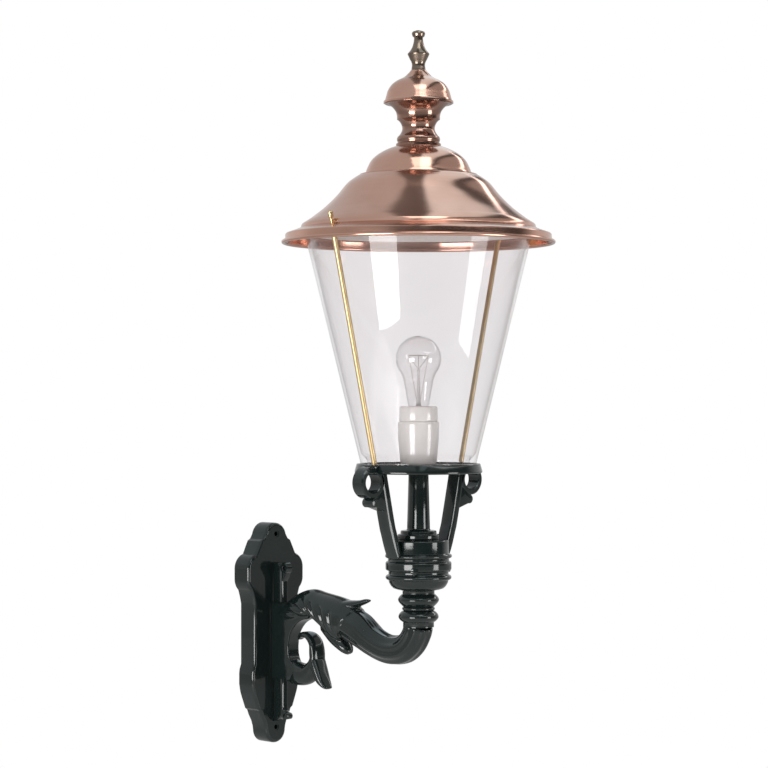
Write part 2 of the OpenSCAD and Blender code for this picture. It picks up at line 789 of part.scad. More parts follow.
module roof_skirt() color(copper) difference() {
    union() {
        spun(skirt_line, 1);
        on_axis() rotate_extrude() translate([rim_r - roll_r, rim_z]) circle(r = roll_r);
    }
    for (s = [-1, 1]) on_tie(s, rim_z + 18) translate([0, 0, -8]) cylinder(d = tie_d + 0.8, h = 20);
}

dome_line = concat(
    [[roof_rod_d / 2 + 0.3, dome_top], [31, dome_top]],
    smooth([[33, dome_top - 0.8], [42.1, dome_top - 4.2], [52.6, dome_top - 10],
            [61.8, dome_top - 18], [67.3, dome_top - 28], [69.6, skirt_top + 4]], 3),
    [[71, skirt_top + sheet + 0.6], [72.5, skirt_top + sheet], [77.5, skirt_top + sheet]]
);

module roof_dome() color(copper) spun(dome_line, 1);

neck_line = concat(
    [[roof_rod_d / 2 + 0.3, dome_top], [29.6, dome_top], [29.6, dome_top + 3.4],
     [27.6, dome_top + 4.6]],
    smooth([[27.6, dome_top + 6], [28.5, dome_top + 9], [27.6, dome_top + 12.4],
            [24.6, dome_top + 15.6], [21.8, dome_top + 21], [21.7, dome_top + 26],
            [23.9, dome_top + 31.4], [26.8, dome_top + 34.6]], 3),
    [[28.3, dome_top + 35.6], [28.3, dome_top + 40]],
    smooth([[29, neck_top - 14], [30.6, neck_top - 10], [34.6, neck_top - 5],
            [39, neck_top - sheet - 0.8]], 3),
    [[40.5, neck_top - sheet], [44, neck_top - sheet]]
);

module roof_neck() color(copper) spun(neck_line, -1);

cap_line = concat(
    [[39, neck_top], [46, neck_top], [46, neck_top + 2.4], [44.2, neck_top + 4]],
    smooth([[43.8, neck_top + 5], [42.4, neck_top + 10], [40.2, neck_top + 17],
            [35.4, neck_top + 24.2], [28.6, neck_top + 29.4], [19.4, neck_top + 34],
            [12.8, neck_top + 40], [10.4, cap_top - 0.6]], 3),
    [[9.4, cap_top], [roof_rod_d / 2 + 0.3, cap_top]]
);

module roof_cap() color(copper) spun(cap_line, -1);

module finial() color(bronze) difference() {
    turned(concat(
        [[0, cap_top], [9.4, cap_top]],
        smooth([[9.2, cap_top + 2], [8.6, cap_top + 7], [9.6, cap_top + 11],
                [11.4, cap_top + 14.4], [14.3, cap_top + 20.6]], 3),
        smooth([[14.3, cap_top + 21.6], [10.6, cap_top + 26], [8, cap_top + 31],
                [6.2, cap_top + 38], [5.9, cap_top + 43]], 3),
        [[8, cap_top + 44.5]],
        arc([5.6, cap_top + finial_h - 4], 3.2, -30, 90, 5),
        [[3.6, cap_top + finial_h], [0, cap_top + finial_h]]
    ));
    on_axis(cap_top - 1) cylinder(d = roof_rod_d, h = 16);
}

washer_t = 1.6;

module roof_rod() color(steel)
    on_axis(dome_top - sheet - 12) cylinder(d = roof_rod_d, h = cap_top + 14 - dome_top + sheet + 12);

module roof_rod_nut() color(steel) on_axis(dome_top - sheet - washer_t - 6.4) difference() {
    union() {
        hex_prism(13, 6.5);
        translate([0, 0, 6.4]) cylinder(d = 24, h = washer_t);
    }
    translate([0, 0, -1]) cylinder(d = roof_rod_d, h = 12);
}

// Tie rods, their sleeves and nuts

nut_z = rim_z + 24.2;

// The flange's underside at the radius r
flange_slope = (flange_out[1] - flange_in[1]) / (flange_out[0] - flange_in[0]);
function flange_under(r) =
    flange_in[1] + flange_slope * (r - flange_in[0]) - sheet * sqrt(1 + flange_slope * flange_slope);
sleeve_top = flange_under(tie_y(rim_z + 15) + sleeve_d / 2 + 0.2) - tie_gap;

// A round bar along a tie, from just below the ring to beyond the cap nut
module tie_bar(s, d) {
    spare = 5;
    on_tie(s, ring_bottom) translate([0, 0, -spare])
        cylinder(d = d, h = (nut_z + cap_nut_h - ring_bottom) / cos(tie_tilt) + 2 * spare);
}

// All of the space between two heights that a tie can pass through
module slice(low, high) on_axis(low) cylinder(r = rim_r, h = high - low);

module tie_rod(s) color(brass) intersection() {
    tie_bar(s, tie_d);
    slice(ring_bottom, nut_z + cap_nut_h - 2);
}

module tie_sleeve(s) color(brass) difference() {
    intersection() {
        tie_bar(s, sleeve_d);
        slice(ring_top, sleeve_top);
    }
    tie_bar(s, tie_d + 0.4);
}

module tie_rod_left() tie_rod(-1);
module tie_rod_right() tie_rod(1);
module tie_sleeve_left() tie_sleeve(-1);
module tie_sleeve_right() tie_sleeve(1);

module tie_cap_nuts() color(brass) for (s = [-1, 1]) on_tie(s, nut_z) difference() {
    union() {
        cylinder(d = sleeve_d, h = cap_nut_h - 1.5);
        translate([0, 0, cap_nut_h - 1.6]) cylinder(d1 = sleeve_d, d2 = sleeve_d - 3, h = 1.6);
    }
    translate([0, 0, -1]) cylinder(d = tie_d, h = cap_nut_h);
}

// Lampholder

module holder_body() color(porcelain) difference() {
    turned([[0, holder_z], [21.5, holder_z], [23.5, holder_z + 2],
            [24.6, holder_z + 10], [26.6, holder_z + 34], [holder_r, holder_split - 3],
            [holder_r - 1, holder_split], [0, holder_split]]);
    on_axis(holder_z + 14) cylinder(r = 21.8, h = holder_h);
    on_axis(holder_z - 1) cylinder(d = hollow_rod_d + 0.4, h = 20);
}

module holder_ring() color(porcelain) difference() {
    turned([[0, holder_split], [24.6, holder_split], [25.4, holder_split + 1.6],
            [25.2, holder_top - 2], [23.6, holder_top], [0, holder_top]]);
    on_axis(holder_split - 1) cylinder(r = 17, h = holder_ring_h + 2);
}

insert_z = holder_z + 22;
insert_h = 22;
shell_r = 14.4;

module holder_insert() color(porcelain) difference() {
    on_axis(insert_z) cylinder(r = 21.5, h = insert_h);
    for (x = [-12, 12]) on_axis(insert_z - 1) translate([x, 0, 0]) cylinder(d = 5, h = insert_h + 2);
}

module screw_shell() color(brass) on_axis(insert_z + insert_h) rotate_extrude() difference() {
    union() {
        square([shell_r, 28]);
        for (i = [0:3]) bead(5 + i * 6, shell_r + 0.5, 3);
    }
    translate([0, 0.8]) square([shell_r - 0.7, 30]);
    translate([-1, -1]) square([9.5, 3]);
}

module centre_contact() color(brass) on_axis(insert_z + insert_h) {
    cylinder(d = 14, h = 0.8);
    cylinder(d = 8, h = 3);
}

// Bulb

cap_z = insert_z + insert_h + 3;
cap_len = 27;
bulb_wall = 0.8;
bulb_c = bulb_top - bulb_r;

module bulb_cap() color(brass) on_axis(cap_z) rotate_extrude() difference() {
    union() {
        polygon([[0, 0], [5, 0], [5, 1], [12.9, 6], [12.9, cap_len], [0, cap_len]]);
        for (i = [0:2]) bead(10 + i * 5, 13.3, 2);
    }
    translate([-1, 7]) square([12.4 + 1, cap_len]);
}

// Outer line of the bulb's glass, drawn in by the amount d
function bulb_line(d) = concat(
    smooth([[12.2 - d, cap_z + 9], [12.2 - d, cap_z + cap_len], [14.2 - d, cap_z + cap_len + 8],
            [16.4 - d, cap_z + cap_len + 20], [19.8 - d, bulb_c - 28]], 3),
    arc([0, bulb_c], bulb_r - d, -40, 90, 20)
);

module bulb_glass() color(clear) on_axis() rotate_extrude()
    polygon(concat(bulb_line(0), [for (i = [24 + 8:-1:0]) bulb_line(bulb_wall)[i]]));

stem_z = cap_z + 9;
stem_top = bulb_c - 14;

module bulb_stem() color(clear) turned(concat(
    [[0, stem_z], [10.5, stem_z], [10.5, stem_z + 1]],
    smooth([[6, stem_z + 8], [4, stem_z + 18], [2.6, stem_z + 34], [1.6, stem_top - 4]], 3),
    [[2.4, stem_top - 2], [1.8, stem_top], [0, stem_top]]
));

wire_d = 0.8;
wire_foot = 3.65;
fil_z = bulb_c + 4;
fil_r = 12;

module bulb_wires() color(steel) {
    for (s = [-1, 1]) on_axis(stem_z + 30) translate([s * wire_foot, 0, 0])
        rotate([0, s * 14, 0]) cylinder(d = wire_d, h = (fil_z - stem_z - 30) / cos(14) - 0.6);
    for (a = [45, 135, 225, 315]) on_axis(stem_top + 0.1) rotate(a) rotate([0, 38, 0])
        cylinder(d = wire_d, h = (fil_z - stem_top) / cos(38) - 0.9);
}

module bulb_filament() color("#777777") on_axis(fil_z)
    rotate([0, 0, 25]) rotate_extrude(angle = 310) translate([fil_r, 0]) circle(d = 1, $fn = 16);

wall_plate();
bracket_arm();
foot_bar_bolts();
terminal_block();
terminal_screws();
earth_screw();
inner_lead();
lantern_fork();
collar_set_screws();
column();
hollow_rod();
hollow_rod_nuts();
glass_seal_lower();
glass_shade();
glass_seal_upper();
tie_rod_left();
tie_rod_right();
tie_sleeve_left();
tie_sleeve_right();
tie_cap_nuts();
holder_body();
holder_ring();
holder_insert();
screw_shell();
centre_contact();
bulb_cap();
bulb_glass();
bulb_stem();
bulb_wires();
bulb_filament();
roof_skirt();
roof_dome();
roof_neck();
roof_cap();
finial();
roof_rod();
roof_rod_nut();
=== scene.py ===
import math
import bmesh
import bpy
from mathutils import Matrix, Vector


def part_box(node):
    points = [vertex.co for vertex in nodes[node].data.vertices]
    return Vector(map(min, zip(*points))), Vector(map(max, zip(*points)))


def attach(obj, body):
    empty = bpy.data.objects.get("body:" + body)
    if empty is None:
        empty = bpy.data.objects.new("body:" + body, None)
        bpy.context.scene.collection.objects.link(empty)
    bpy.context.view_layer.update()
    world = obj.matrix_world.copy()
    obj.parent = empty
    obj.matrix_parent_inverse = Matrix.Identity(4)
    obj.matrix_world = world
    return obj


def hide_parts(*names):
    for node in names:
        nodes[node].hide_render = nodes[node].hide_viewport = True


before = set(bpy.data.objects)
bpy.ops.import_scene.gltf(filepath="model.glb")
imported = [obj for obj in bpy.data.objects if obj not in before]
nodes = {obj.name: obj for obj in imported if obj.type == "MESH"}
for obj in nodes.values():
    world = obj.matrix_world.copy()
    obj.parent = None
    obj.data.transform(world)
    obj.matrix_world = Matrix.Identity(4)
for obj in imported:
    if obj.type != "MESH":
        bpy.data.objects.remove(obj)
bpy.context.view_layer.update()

MM = 0.001
low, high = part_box("column")
REACH = (low[0] + high[0]) / 2 / MM
RING_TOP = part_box("lantern_fork")[1][2] / MM
PLATE_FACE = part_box("wall_plate")[1][0] / MM


# Curves

def unit_circle(count):
    """So many even steps round a circle, as (cosine, sine)."""
    return [(math.cos(2 * math.pi * k / count), math.sin(2 * math.pi * k / count))
            for k in range(count)]


def arc(centre, radius, start, end, steps):
    """Points on an arc, as (across, up). Angles are degrees, from across towards up."""
    angles = [math.radians(start + (end - start) * i / steps) for i in range(steps + 1)]
    return [(centre[0] + radius * math.cos(a), centre[1] + radius * math.sin(a)) for a in angles]


def smooth(stations, steps):
    """A smooth curve through the stations, with so many steps from each to the next."""
    out = []
    last = len(stations) - 1
    for i in range(last):
        a, b, c, d = (stations[k] for k in (max(i - 1, 0), i, i + 1, min(i + 2, last)))
        for j in range(steps):
            t = j / steps
            out.append(tuple(
                0.5 * (2 * q + (r - p) * t + (2 * p - 5 * q + 4 * r - s) * t * t
                       + (3 * q - p - 3 * r + s) * t ** 3)
                for p, q, r, s in zip(a, b, c, d)))
    out.append(tuple(stations[last]))
    return out


def heading(line, i):
    """The unit vector along a line at its point i, in the upright plane."""
    a, b = line[max(i - 1, 0)], line[min(i + 1, len(line) - 1)]
    d = Vector((b[0] - a[0], b[1] - a[1]))
    return d.normalized()


def sheet_outline(line, thickness):
    """A closed outline of a sheet whose outer face follows the line."""
    back = []
    for i in range(len(line) - 1, -1, -1):
        h = heading(line, i)
        back.append((line[i][0] + h.y * thickness, line[i][1] - h.x * thickness))
    return list(line) + back


# Modelling, with the steps a modeller takes by hand

def select_only(*pieces):
    """Selects these pieces alone and makes the first one active."""
    bpy.ops.object.select_all(action="DESELECT")
    for piece in pieces:
        piece.select_set(True)
    bpy.context.view_layer.objects.active = pieces[0]


def shift_active(offset):
    """Moves the mesh of the active piece by an offset in metres."""
    bpy.ops.object.mode_set(mode="EDIT")
    bpy.ops.mesh.select_all(action="SELECT")
    bpy.ops.transform.translate(value=offset)
    bpy.ops.object.mode_set(mode="OBJECT")


def start_ring(name, count, fill):
    """A new circle of so many corners, open in edit mode, with each corner numbered."""
    bpy.ops.object.select_all(action="DESELECT")
    bpy.ops.mesh.primitive_circle_add(vertices=count, radius=0.01, fill_type=fill)
    piece = bpy.context.object
    piece.name = name
    piece.data.name = name
    bpy.ops.object.mode_set(mode="EDIT")
    bm = bmesh.from_edit_mesh(piece.data)
    number = bm.verts.layers.int.new("corner")
    bm.verts.ensure_lookup_table()
    for i, v in enumerate(bm.verts):
        v[number] = i
    bmesh.update_edit_mesh(piece.data)
    return piece


def move_selected(piece, points):
    """Moves the selected ring's corners to these points."""
    bm = bmesh.from_edit_mesh(piece.data)
    number = bm.verts.layers.int["corner"]
    for v in bm.verts:
        if v.select:
            v.co = Vector(points[v[number]]) * MM
    bmesh.update_edit_mesh(piece.data)


def close_up(piece):
    """Merges what meets, turns the faces outwards and leaves edit mode."""
    bpy.ops.mesh.select_all(action="SELECT")
    bpy.ops.mesh.remove_doubles(threshold=0.000004)
    bpy.ops.mesh.normals_make_consistent(inside=False)
    bpy.ops.object.mode_set(mode="OBJECT")
    return piece


def lofted(name, sections):
    """A body through sections of equal corner counts, extruded from one to the next."""
    piece = start_ring(name, len(sections[0]), "NGON")
    move_selected(piece, sections[0])
    for section in sections[1:]:
        bpy.ops.mesh.extrude_region_move()
        move_selected(piece, section)
    return close_up(piece)


def ring_lofted(name, rings):
    """A hollow ring or shell through rings of corners, with no faces across its ends."""
    piece = start_ring(name, len(rings[0]), "NOTHING")
    move_selected(piece, rings[0])
    for ring in rings[1:]:
        bpy.ops.mesh.extrude_region_move()
        move_selected(piece, ring)
    return close_up(piece)


def turned(name, profile, sides=128, closed=True):
    """A piece turned about the lantern's axis from (radius, height) points. A closed profile
    goes back to its first point, an open one starts and ends on the axis."""
    line = list(profile) + ([profile[0]] if closed else [])
    turns = unit_circle(sides)
    return ring_lofted(name, [[(REACH + radius * c, radius * s, height) for c, s in turns]
                              for radius, height in line])


def add_modifier(piece, kind, **settings):
    """Adds a modifier, sets it and applies it."""
    select_only(piece)
    bpy.ops.object.modifier_add(type=kind)
    modifier = piece.modifiers[-1]
    for key, value in settings.items():
        setattr(modifier, key, value)
    bpy.ops.object.modifier_apply(modifier=modifier.name)
    return piece


def soften(piece, width, angle=35, segments=2):
    """Rounds the edges that turn by more than the angle."""
    return add_modifier(piece, "BEVEL", width=width * MM, segments=segments,
                        limit_method="ANGLE", angle_limit=math.radians(angle),
                        use_clamp_overlap=True, harden_normals=False)


def cut(piece, cutter, operation="DIFFERENCE"):
    """Cuts the second piece out of the first, or unites them, and deletes the second."""
    add_modifier(piece, "BOOLEAN", operation=operation, solver="EXACT", object=cutter)
    bpy.data.objects.remove(cutter)


def joined(name, pieces):
    """One object out of several."""
    select_only(*pieces)
    bpy.ops.object.join()
    piece = bpy.context.object
    piece.name = name
    piece.data.name = name
    return piece


def dress(piece, material, stands_for=(), angle=40):
    """Shades a finished piece, gives it its material and fixes it to the lamp."""
    select_only(piece)
    bpy.ops.object.shade_smooth_by_angle(angle=math.radians(angle))
    piece.data.materials.clear()
    piece.data.materials.append(material)
    if stands_for:
        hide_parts(*stands_for)
    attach(piece, "root")
    return piece


def rod(name, start, end, radius, sides=24):
    """A round bar between two points."""
    a, b = Vector(start), Vector(end)
    along = (b - a).normalized()
    side = along.orthogonal().normalized()
    other = along.cross(side)
    return lofted(name, [[tuple(p + (side * c + other * s) * radius) for c, s in unit_circle(sides)]
                         for p in (a, b)])


# Materials

class Value:
    """A socket that takes part in sums."""

    def __init__(self, finish, socket):
        self.finish = finish
        self.socket = socket

    def sum(self, operation, *others):
        """One Math node with these operands."""
        return self.finish.node("ShaderNodeMath", {"operation": operation},
                                dict(enumerate(others)))

    def __add__(self, other):
        return self.sum("ADD", self, other)

    def __sub__(self, other):
        return self.sum("SUBTRACT", self, other)

    def __mul__(self, other):
        return self.sum("MULTIPLY", self, other)

    def __truediv__(self, other):
        return self.sum("DIVIDE", self, other)

    def __pow__(self, other):
        return self.sum("POWER", self, other)

    def __rsub__(self, other):
        return self.sum("SUBTRACT", other, self)

    __radd__ = __add__
    __rmul__ = __mul__


class Finish:
    """A material or a world, built from its nodes."""

    def __init__(self, name, world=None):
        self.material = world or bpy.data.materials.new(name)
        self.material.use_nodes = True
        self.tree = self.material.node_tree
        self.tree.nodes.clear()

    def node(self, kind, settings=None, values=None, out=0):
        """Adds a node: its settings first, then what goes into its sockets. It gives the
        output that is asked for, a list where out names several, or nothing for None."""
        made = self.tree.nodes.new(kind)
        for key, value in (settings or {}).items():
            if key == "stops":
                ramp = made.color_ramp
                for i, (place, colour) in enumerate(value):
                    stop = ramp.elements[i] if i < 2 else ramp.elements.new(place)
                    stop.position = place
                    stop.color = colour
            else:
                setattr(made, key, value)
        for key, value in (values or {}).items():
            if isinstance(value, Value):
                self.tree.links.new(value.socket, made.inputs[key])
            elif value is not None:
                made.inputs[key].default_value = value
        if isinstance(out, tuple):
            return [Value(self, made.outputs[name]) for name in out]
        return None if out is None else Value(self, made.outputs[out])

    def place(self):
        """Object coordinates in millimetres."""
        at = self.node("ShaderNodeTexCoord", out="Object")
        return self.node("ShaderNodeVectorMath", {"operation": "SCALE"}, {0: at, "Scale": 1 / MM})

    def noise(self, at, size, detail=3.0, roughness=0.5, stretch=None):
        """Noise from 0 to 1 with lumps of about this size in millimetres. A stretch below 1
        draws them out along that axis."""
        if stretch:
            at = self.node("ShaderNodeVectorMath", {"operation": "MULTIPLY"}, {0: at, 1: stretch})
        return self.node("ShaderNodeTexNoise", None, {
            "Vector": at, "Scale": 1.0 / size, "Detail": detail, "Roughness": roughness})

    def ramp(self, value, stops):
        """A colour for each value, blended between stops of (value, colour)."""
        return self.node("ShaderNodeValToRGB", {"stops": stops}, {"Fac": value})

    def bump(self, height, depth, strength=1.0):
        """A surface raised by the height, from 0 to 1, times the depth in millimetres."""
        return self.node("ShaderNodeBump", None,
                         {"Height": height, "Distance": depth * MM, "Strength": strength})

    def shader(self, **values):
        """The main shader, with its sockets' names written with underscores."""
        return self.node("ShaderNodeBsdfPrincipled", None, {
            key.replace("_", " "): value for key, value in values.items()})

    def output(self, shader, kind="ShaderNodeOutputMaterial"):
        """Ends the material or world with its one output."""
        self.node(kind, None, {"Surface": shader}, out=None)
        return self.material

    def finish(self, **values):
        """Ends the material with the main shader, set to these values."""
        return self.output(self.shader(**values))


def rgb(r, g, b):
    return (r, g, b, 1.0)


def grey(value):
    return rgb(value, value, value)


def from_axis(finish, at):
    """The distance from the lantern's centre line, the height, and the turn in radians."""
    x, y, z = finish.node("ShaderNodeSeparateXYZ", None, {0: at}, out=("X", "Y", "Z"))
    x = x - REACH
    radius = (x * x + y * y) ** 0.5
    return radius, z, x.sum("ARCTAN2", y, x)


def green_paint():
    """Thick gloss paint on a casting: soft lumps, a faint orange peel and uneven gloss."""
    f = Finish("green_gloss_paint")
    at = f.place()
    lumps = f.noise(at, 22, 2.0)
    peel = f.noise(at, 2.6, 2.0)
    wear = f.noise(at, 60, 4.0, 0.6)
    colour = f.ramp(wear, [(0.3, rgb(0.0055, 0.0105, 0.0095)), (0.75, rgb(0.0095, 0.0155, 0.0145))])
    height = lumps * 0.8 + peel * 0.035
    return f.finish(Base_Color=colour, Roughness=0.07 + wear * 0.09,
                    Normal=f.bump(height, 0.5, 0.6), Coat_Weight=0.1, Coat_Roughness=0.04,
                    IOR=1.5)


def spun_copper(name, shade):
    """Copper sheet with fine spinning lines round the lantern. A shade below 1 darkens all of its colour,
    as painted shade.
    """
    f = Finish(name)
    at = f.place()
    radius, height, turn = from_axis(f, at)
    lines = f.node("ShaderNodeCombineXYZ", None, {0: radius * 1.9, 1: height * 1.9, 2: turn * 0.8})
    rings = f.noise(lines, 1.0, 3.0, 0.65)
    fine = f.node("ShaderNodeCombineXYZ", None, {0: radius * 6.0, 1: height * 6.0, 2: turn * 2.2})
    hair = f.noise(fine, 1.0, 2.0, 0.6)
    cloud = f.noise(at, 75, 4.0, 0.55)
    tone = cloud * 0.6 + rings * 0.25 + hair * 0.15
    tones = ((0.3, (0.56, 0.315, 0.235)), (0.5, (0.64, 0.375, 0.29)), (0.72, (0.72, 0.445, 0.355)))
    colour = f.ramp(tone, [(place, rgb(*(part * shade for part in parts)))
                           for place, parts in tones])
    return f.finish(Base_Color=colour, Metallic=1.0, Roughness=0.11 + rings * 0.06 + cloud * 0.04,
                    Normal=f.bump(rings * 0.6 + hair * 0.4, 0.05, 0.4), Anisotropic=0.6,
                    Anisotropic_Rotation=0.25)


def satin_metal(name, dark, light, roughness, grain=1.6):
    """Plain metal with soft clouds of tone and a fine grain of this size in millimetres."""
    f = Finish(name)
    at = f.place()
    cloud = f.noise(at, 24, 4.0, 0.6)
    specks = f.noise(at, grain, 2.0, 0.6)
    colour = f.ramp(cloud * 0.7 + specks * 0.3, [(0.3, dark), (0.7, light)])
    return f.finish(Base_Color=colour, Metallic=1.0, Roughness=roughness + specks * 0.12,
                    Normal=f.bump(specks, 0.03, 0.5))


def porcelain():
    """Glazed off-white porcelain with a slightly wavy glaze."""
    f = Finish("white_porcelain")
    at = f.place()
    cloud = f.noise(at, 18, 3.0)
    colour = f.ramp(cloud, [(0.3, rgb(0.80, 0.775, 0.745)), (0.75, rgb(0.87, 0.85, 0.825))])
    return f.finish(Base_Color=colour, Roughness=0.12 + cloud * 0.08,
                    Normal=f.bump(f.noise(at, 9, 2.0), 0.12, 0.4), Coat_Weight=0.5,
                    Coat_Roughness=0.06)


def clear_glass(name, tint, waves, sheen):
    """Thin glass: seen straight through its tint, with a mirror sheen that grows where it is
    seen edge-on. The waves are the depth of its unevenness in millimetres."""
    f = Finish(name)
    at = f.place()
    swell = f.noise(at, 55, 2.0, 0.4, (1.0, 1.0, 0.35))
    dust = f.noise(at, 7, 5.0, 0.7)
    mirror = f.shader(Base_Color=rgb(0.98, 0.97, 0.97), Metallic=1.0,
                      Roughness=0.02 + dust * 0.03, Normal=f.bump(swell, waves, 0.25))
    straight = f.node("ShaderNodeBsdfTransparent", None, {"Color": tint})
    facing = f.node("ShaderNodeLayerWeight", None, {"Blend": 0.5}, out="Facing")
    share = (facing ** 5 * 0.8 + 0.035) * sheen
    return f.output(f.node("ShaderNodeMixShader", None, {0: share, 1: straight, 2: mirror}))


def dull(name, dark, light, roughness):
    """Plastic, rubber or milky glass with a fine grain."""
    f = Finish(name)
    grain = f.noise(f.place(), 3.0, 4.0, 0.6)
    colour = f.ramp(grain, [(0.3, dark), (0.7, light)])
    return f.finish(Base_Color=colour, Roughness=roughness + grain * 0.1,
                    Normal=f.bump(grain, 0.05, 0.5))


PAINT = green_paint()
COPPER = spun_copper("spun_copper", 1.0)
# A copy of the copper darkened to 0.55 of its colour: painted shade for the roof neck
COPPER_PAINTED_SHADE = spun_copper("copper_painted_shade", 0.55)
BRONZE = satin_metal("brown_bronze", rgb(0.19, 0.145, 0.11), rgb(0.28, 0.22, 0.175), 0.16, 0.7)
BRASS = satin_metal("brass_rod", rgb(0.60, 0.44, 0.23), rgb(0.74, 0.57, 0.33), 0.32)
STEEL = satin_metal("zinc_steel", rgb(0.42, 0.43, 0.44), rgb(0.58, 0.59, 0.60), 0.28)
SHELL = satin_metal("bulb_cap_metal", rgb(0.62, 0.61, 0.58), rgb(0.78, 0.77, 0.74), 0.18)
WIRE = satin_metal("filament_wire", rgb(0.62, 0.57, 0.52), rgb(0.76, 0.72, 0.67), 0.5)
PORCELAIN = porcelain()
GLASS = clear_glass("lantern_glass", rgb(0.958, 0.95, 0.954), 0.25, 1.0)
BULB_GLASS = clear_glass("bulb_glass_clear", rgb(0.992, 0.988, 0.989), 0.1, 1.3)
STEM_GLASS = dull("stem_glass_milky", rgb(0.70, 0.69, 0.67), rgb(0.82, 0.81, 0.79), 0.12)
SEAL = dull("pale_silicone", rgb(0.62, 0.61, 0.59), rgb(0.72, 0.71, 0.69), 0.45)
LEAD = dull("lead_sheath", rgb(0.015, 0.015, 0.015), rgb(0.03, 0.03, 0.03), 0.5)
BLOCK = dull("terminal_plastic", rgb(0.62, 0.60, 0.55), rgb(0.70, 0.68, 0.63), 0.4)


# Roof. The profiles of turned pieces are (radius, height)

SHEET = 1.2
RIM_Z = 530.0
RIM_R = 180.3
RIM_BAND_R = RIM_R - 5.1
SKIRT_TOP = RIM_Z + 87.6
DOME_TOP = SKIRT_TOP + 38.2
NECK_TOP = DOME_TOP + 57
CAP_TOP = NECK_TOP + 43.6
FINIAL_H = 52.0
ROD_HOLE = 4.3
ROLL = 2.6

skirt_line = (
    [(56, SKIRT_TOP), (79, SKIRT_TOP), (80, SKIRT_TOP - 0.8)]
    + smooth([(82.5, SKIRT_TOP - 2), (94.1, RIM_Z + 76.8), (107.2, RIM_Z + 61),
              (123.7, RIM_Z + 44.8), (142, RIM_Z + 30.5)], 6)
    + [(153, RIM_Z + 23.6), (154.1, RIM_Z + 21.8), (154.9, RIM_Z + 18.3)]
    + smooth([(RIM_R - 17.1, RIM_Z + 14.8), (RIM_R - 10.3, RIM_Z + 12.5),
              (RIM_R - 6.6, RIM_Z + 11.2), (RIM_R - 5.3, RIM_Z + 10)], 4)
    + [(RIM_BAND_R, RIM_Z + 9), (RIM_BAND_R, RIM_Z + 4.2)]
)
rim_roll = arc((RIM_R - ROLL, RIM_Z), ROLL, 150, -190, 20)
skirt_inner = sheet_outline(skirt_line, SHEET)[len(skirt_line):]

# The inner face ends on the rolled rim
skirt_inner[0] = (RIM_BAND_R - SHEET, RIM_Z + 1.2)
dress(turned("roof_skirt_copper", skirt_line + rim_roll + skirt_inner),
      COPPER, ["roof_skirt"], 28)

dome_line = (
    [(ROD_HOLE, DOME_TOP), (31, DOME_TOP)]
    + smooth([(33, DOME_TOP - 0.8), (42.1, DOME_TOP - 4.2), (52.6, DOME_TOP - 10),
              (61.8, DOME_TOP - 18), (67.3, DOME_TOP - 28), (69.6, SKIRT_TOP + 4)], 5)
    + [(71, SKIRT_TOP + SHEET + 0.6), (72.5, SKIRT_TOP + SHEET), (77.5, SKIRT_TOP + SHEET)]
)
dress(turned("roof_dome_copper", sheet_outline(dome_line, SHEET)),
      COPPER, ["roof_dome"], 28)

neck_line = (
    [(ROD_HOLE, DOME_TOP), (29.6, DOME_TOP), (29.6, DOME_TOP + 3.4), (27.6, DOME_TOP + 4.6)]
    + smooth([(27.6, DOME_TOP + 6), (28.5, DOME_TOP + 9), (27.6, DOME_TOP + 12.4),
              (24.6, DOME_TOP + 15.6), (21.8, DOME_TOP + 21), (21.7, DOME_TOP + 26),
              (23.9, DOME_TOP + 31.4), (26.8, DOME_TOP + 34.6)], 4)
    + [(28.3, DOME_TOP + 35.6), (28.3, DOME_TOP + 40)]
    + smooth([(29, NECK_TOP - 14), (30.6, NECK_TOP - 10), (34.6, NECK_TOP - 5),
              (39, NECK_TOP - SHEET - 0.8)], 4)
    + [(40.5, NECK_TOP - SHEET), (44, NECK_TOP - SHEET)]
)
# The neck gets the darkened copper, which is painted shade
dress(turned("roof_neck_copper", sheet_outline(neck_line, -SHEET)),
      COPPER_PAINTED_SHADE, ["roof_neck"], 28)

cap_line = (
    [(39, NECK_TOP), (46, NECK_TOP), (46, NECK_TOP + 2.4), (44.2, NECK_TOP + 4)]
    + smooth([(43.8, NECK_TOP + 5), (42.4, NECK_TOP + 10), (40.2, NECK_TOP + 17),
              (35.4, NECK_TOP + 24.2), (28.6, NECK_TOP + 29.4), (19.4, NECK_TOP + 34),
              (12.8, NECK_TOP + 40), (10.4, CAP_TOP - 0.6)], 5)
    + [(9.4, CAP_TOP), (ROD_HOLE, CAP_TOP)]
)
dress(turned("roof_cap_copper", sheet_outline(cap_line, -SHEET)),
      COPPER, ["roof_cap"], 28)

finial_line = (
    [(0, CAP_TOP), (9.4, CAP_TOP)]
    + smooth([(9.2, CAP_TOP + 2), (8.6, CAP_TOP + 7), (9.6, CAP_TOP + 11),
              (11.4, CAP_TOP + 14.4), (14.3, CAP_TOP + 20.6)], 4)
    + smooth([(14.3, CAP_TOP + 21.6), (10.6, CAP_TOP + 26), (8, CAP_TOP + 31),
              (6.2, CAP_TOP + 38), (5.9, CAP_TOP + 43)], 4)
    + [(8, CAP_TOP + 44.5)]
    + arc((5.6, CAP_TOP + FINIAL_H - 4), 3.2, -30, 90, 8)
    + [(3.6, CAP_TOP + FINIAL_H), (0, CAP_TOP + FINIAL_H)]
)
dress(turned("finial_bronze", finial_line, closed=False, sides=64),
      BRONZE, ["finial"], 32)

# Glass

SEAL_Z = RING_TOP - 4.3
SEAL_T = 2
GLASS_Z = SEAL_Z + SEAL_T
GLASS_H = 308.5
GLASS_FOOT = 75.9
SKIRT_FOOT_R = 153.9
SKIRT_GAP = 3
SLOPE = (SKIRT_FOOT_R - SKIRT_GAP - GLASS_FOOT) / GLASS_H
GLASS_TOP = GLASS_Z + GLASS_H
GLASS_WALL = 4.0


def glass_r(z):
    """The glass's outer radius at this height."""
    return GLASS_FOOT + SLOPE * (z - GLASS_Z)


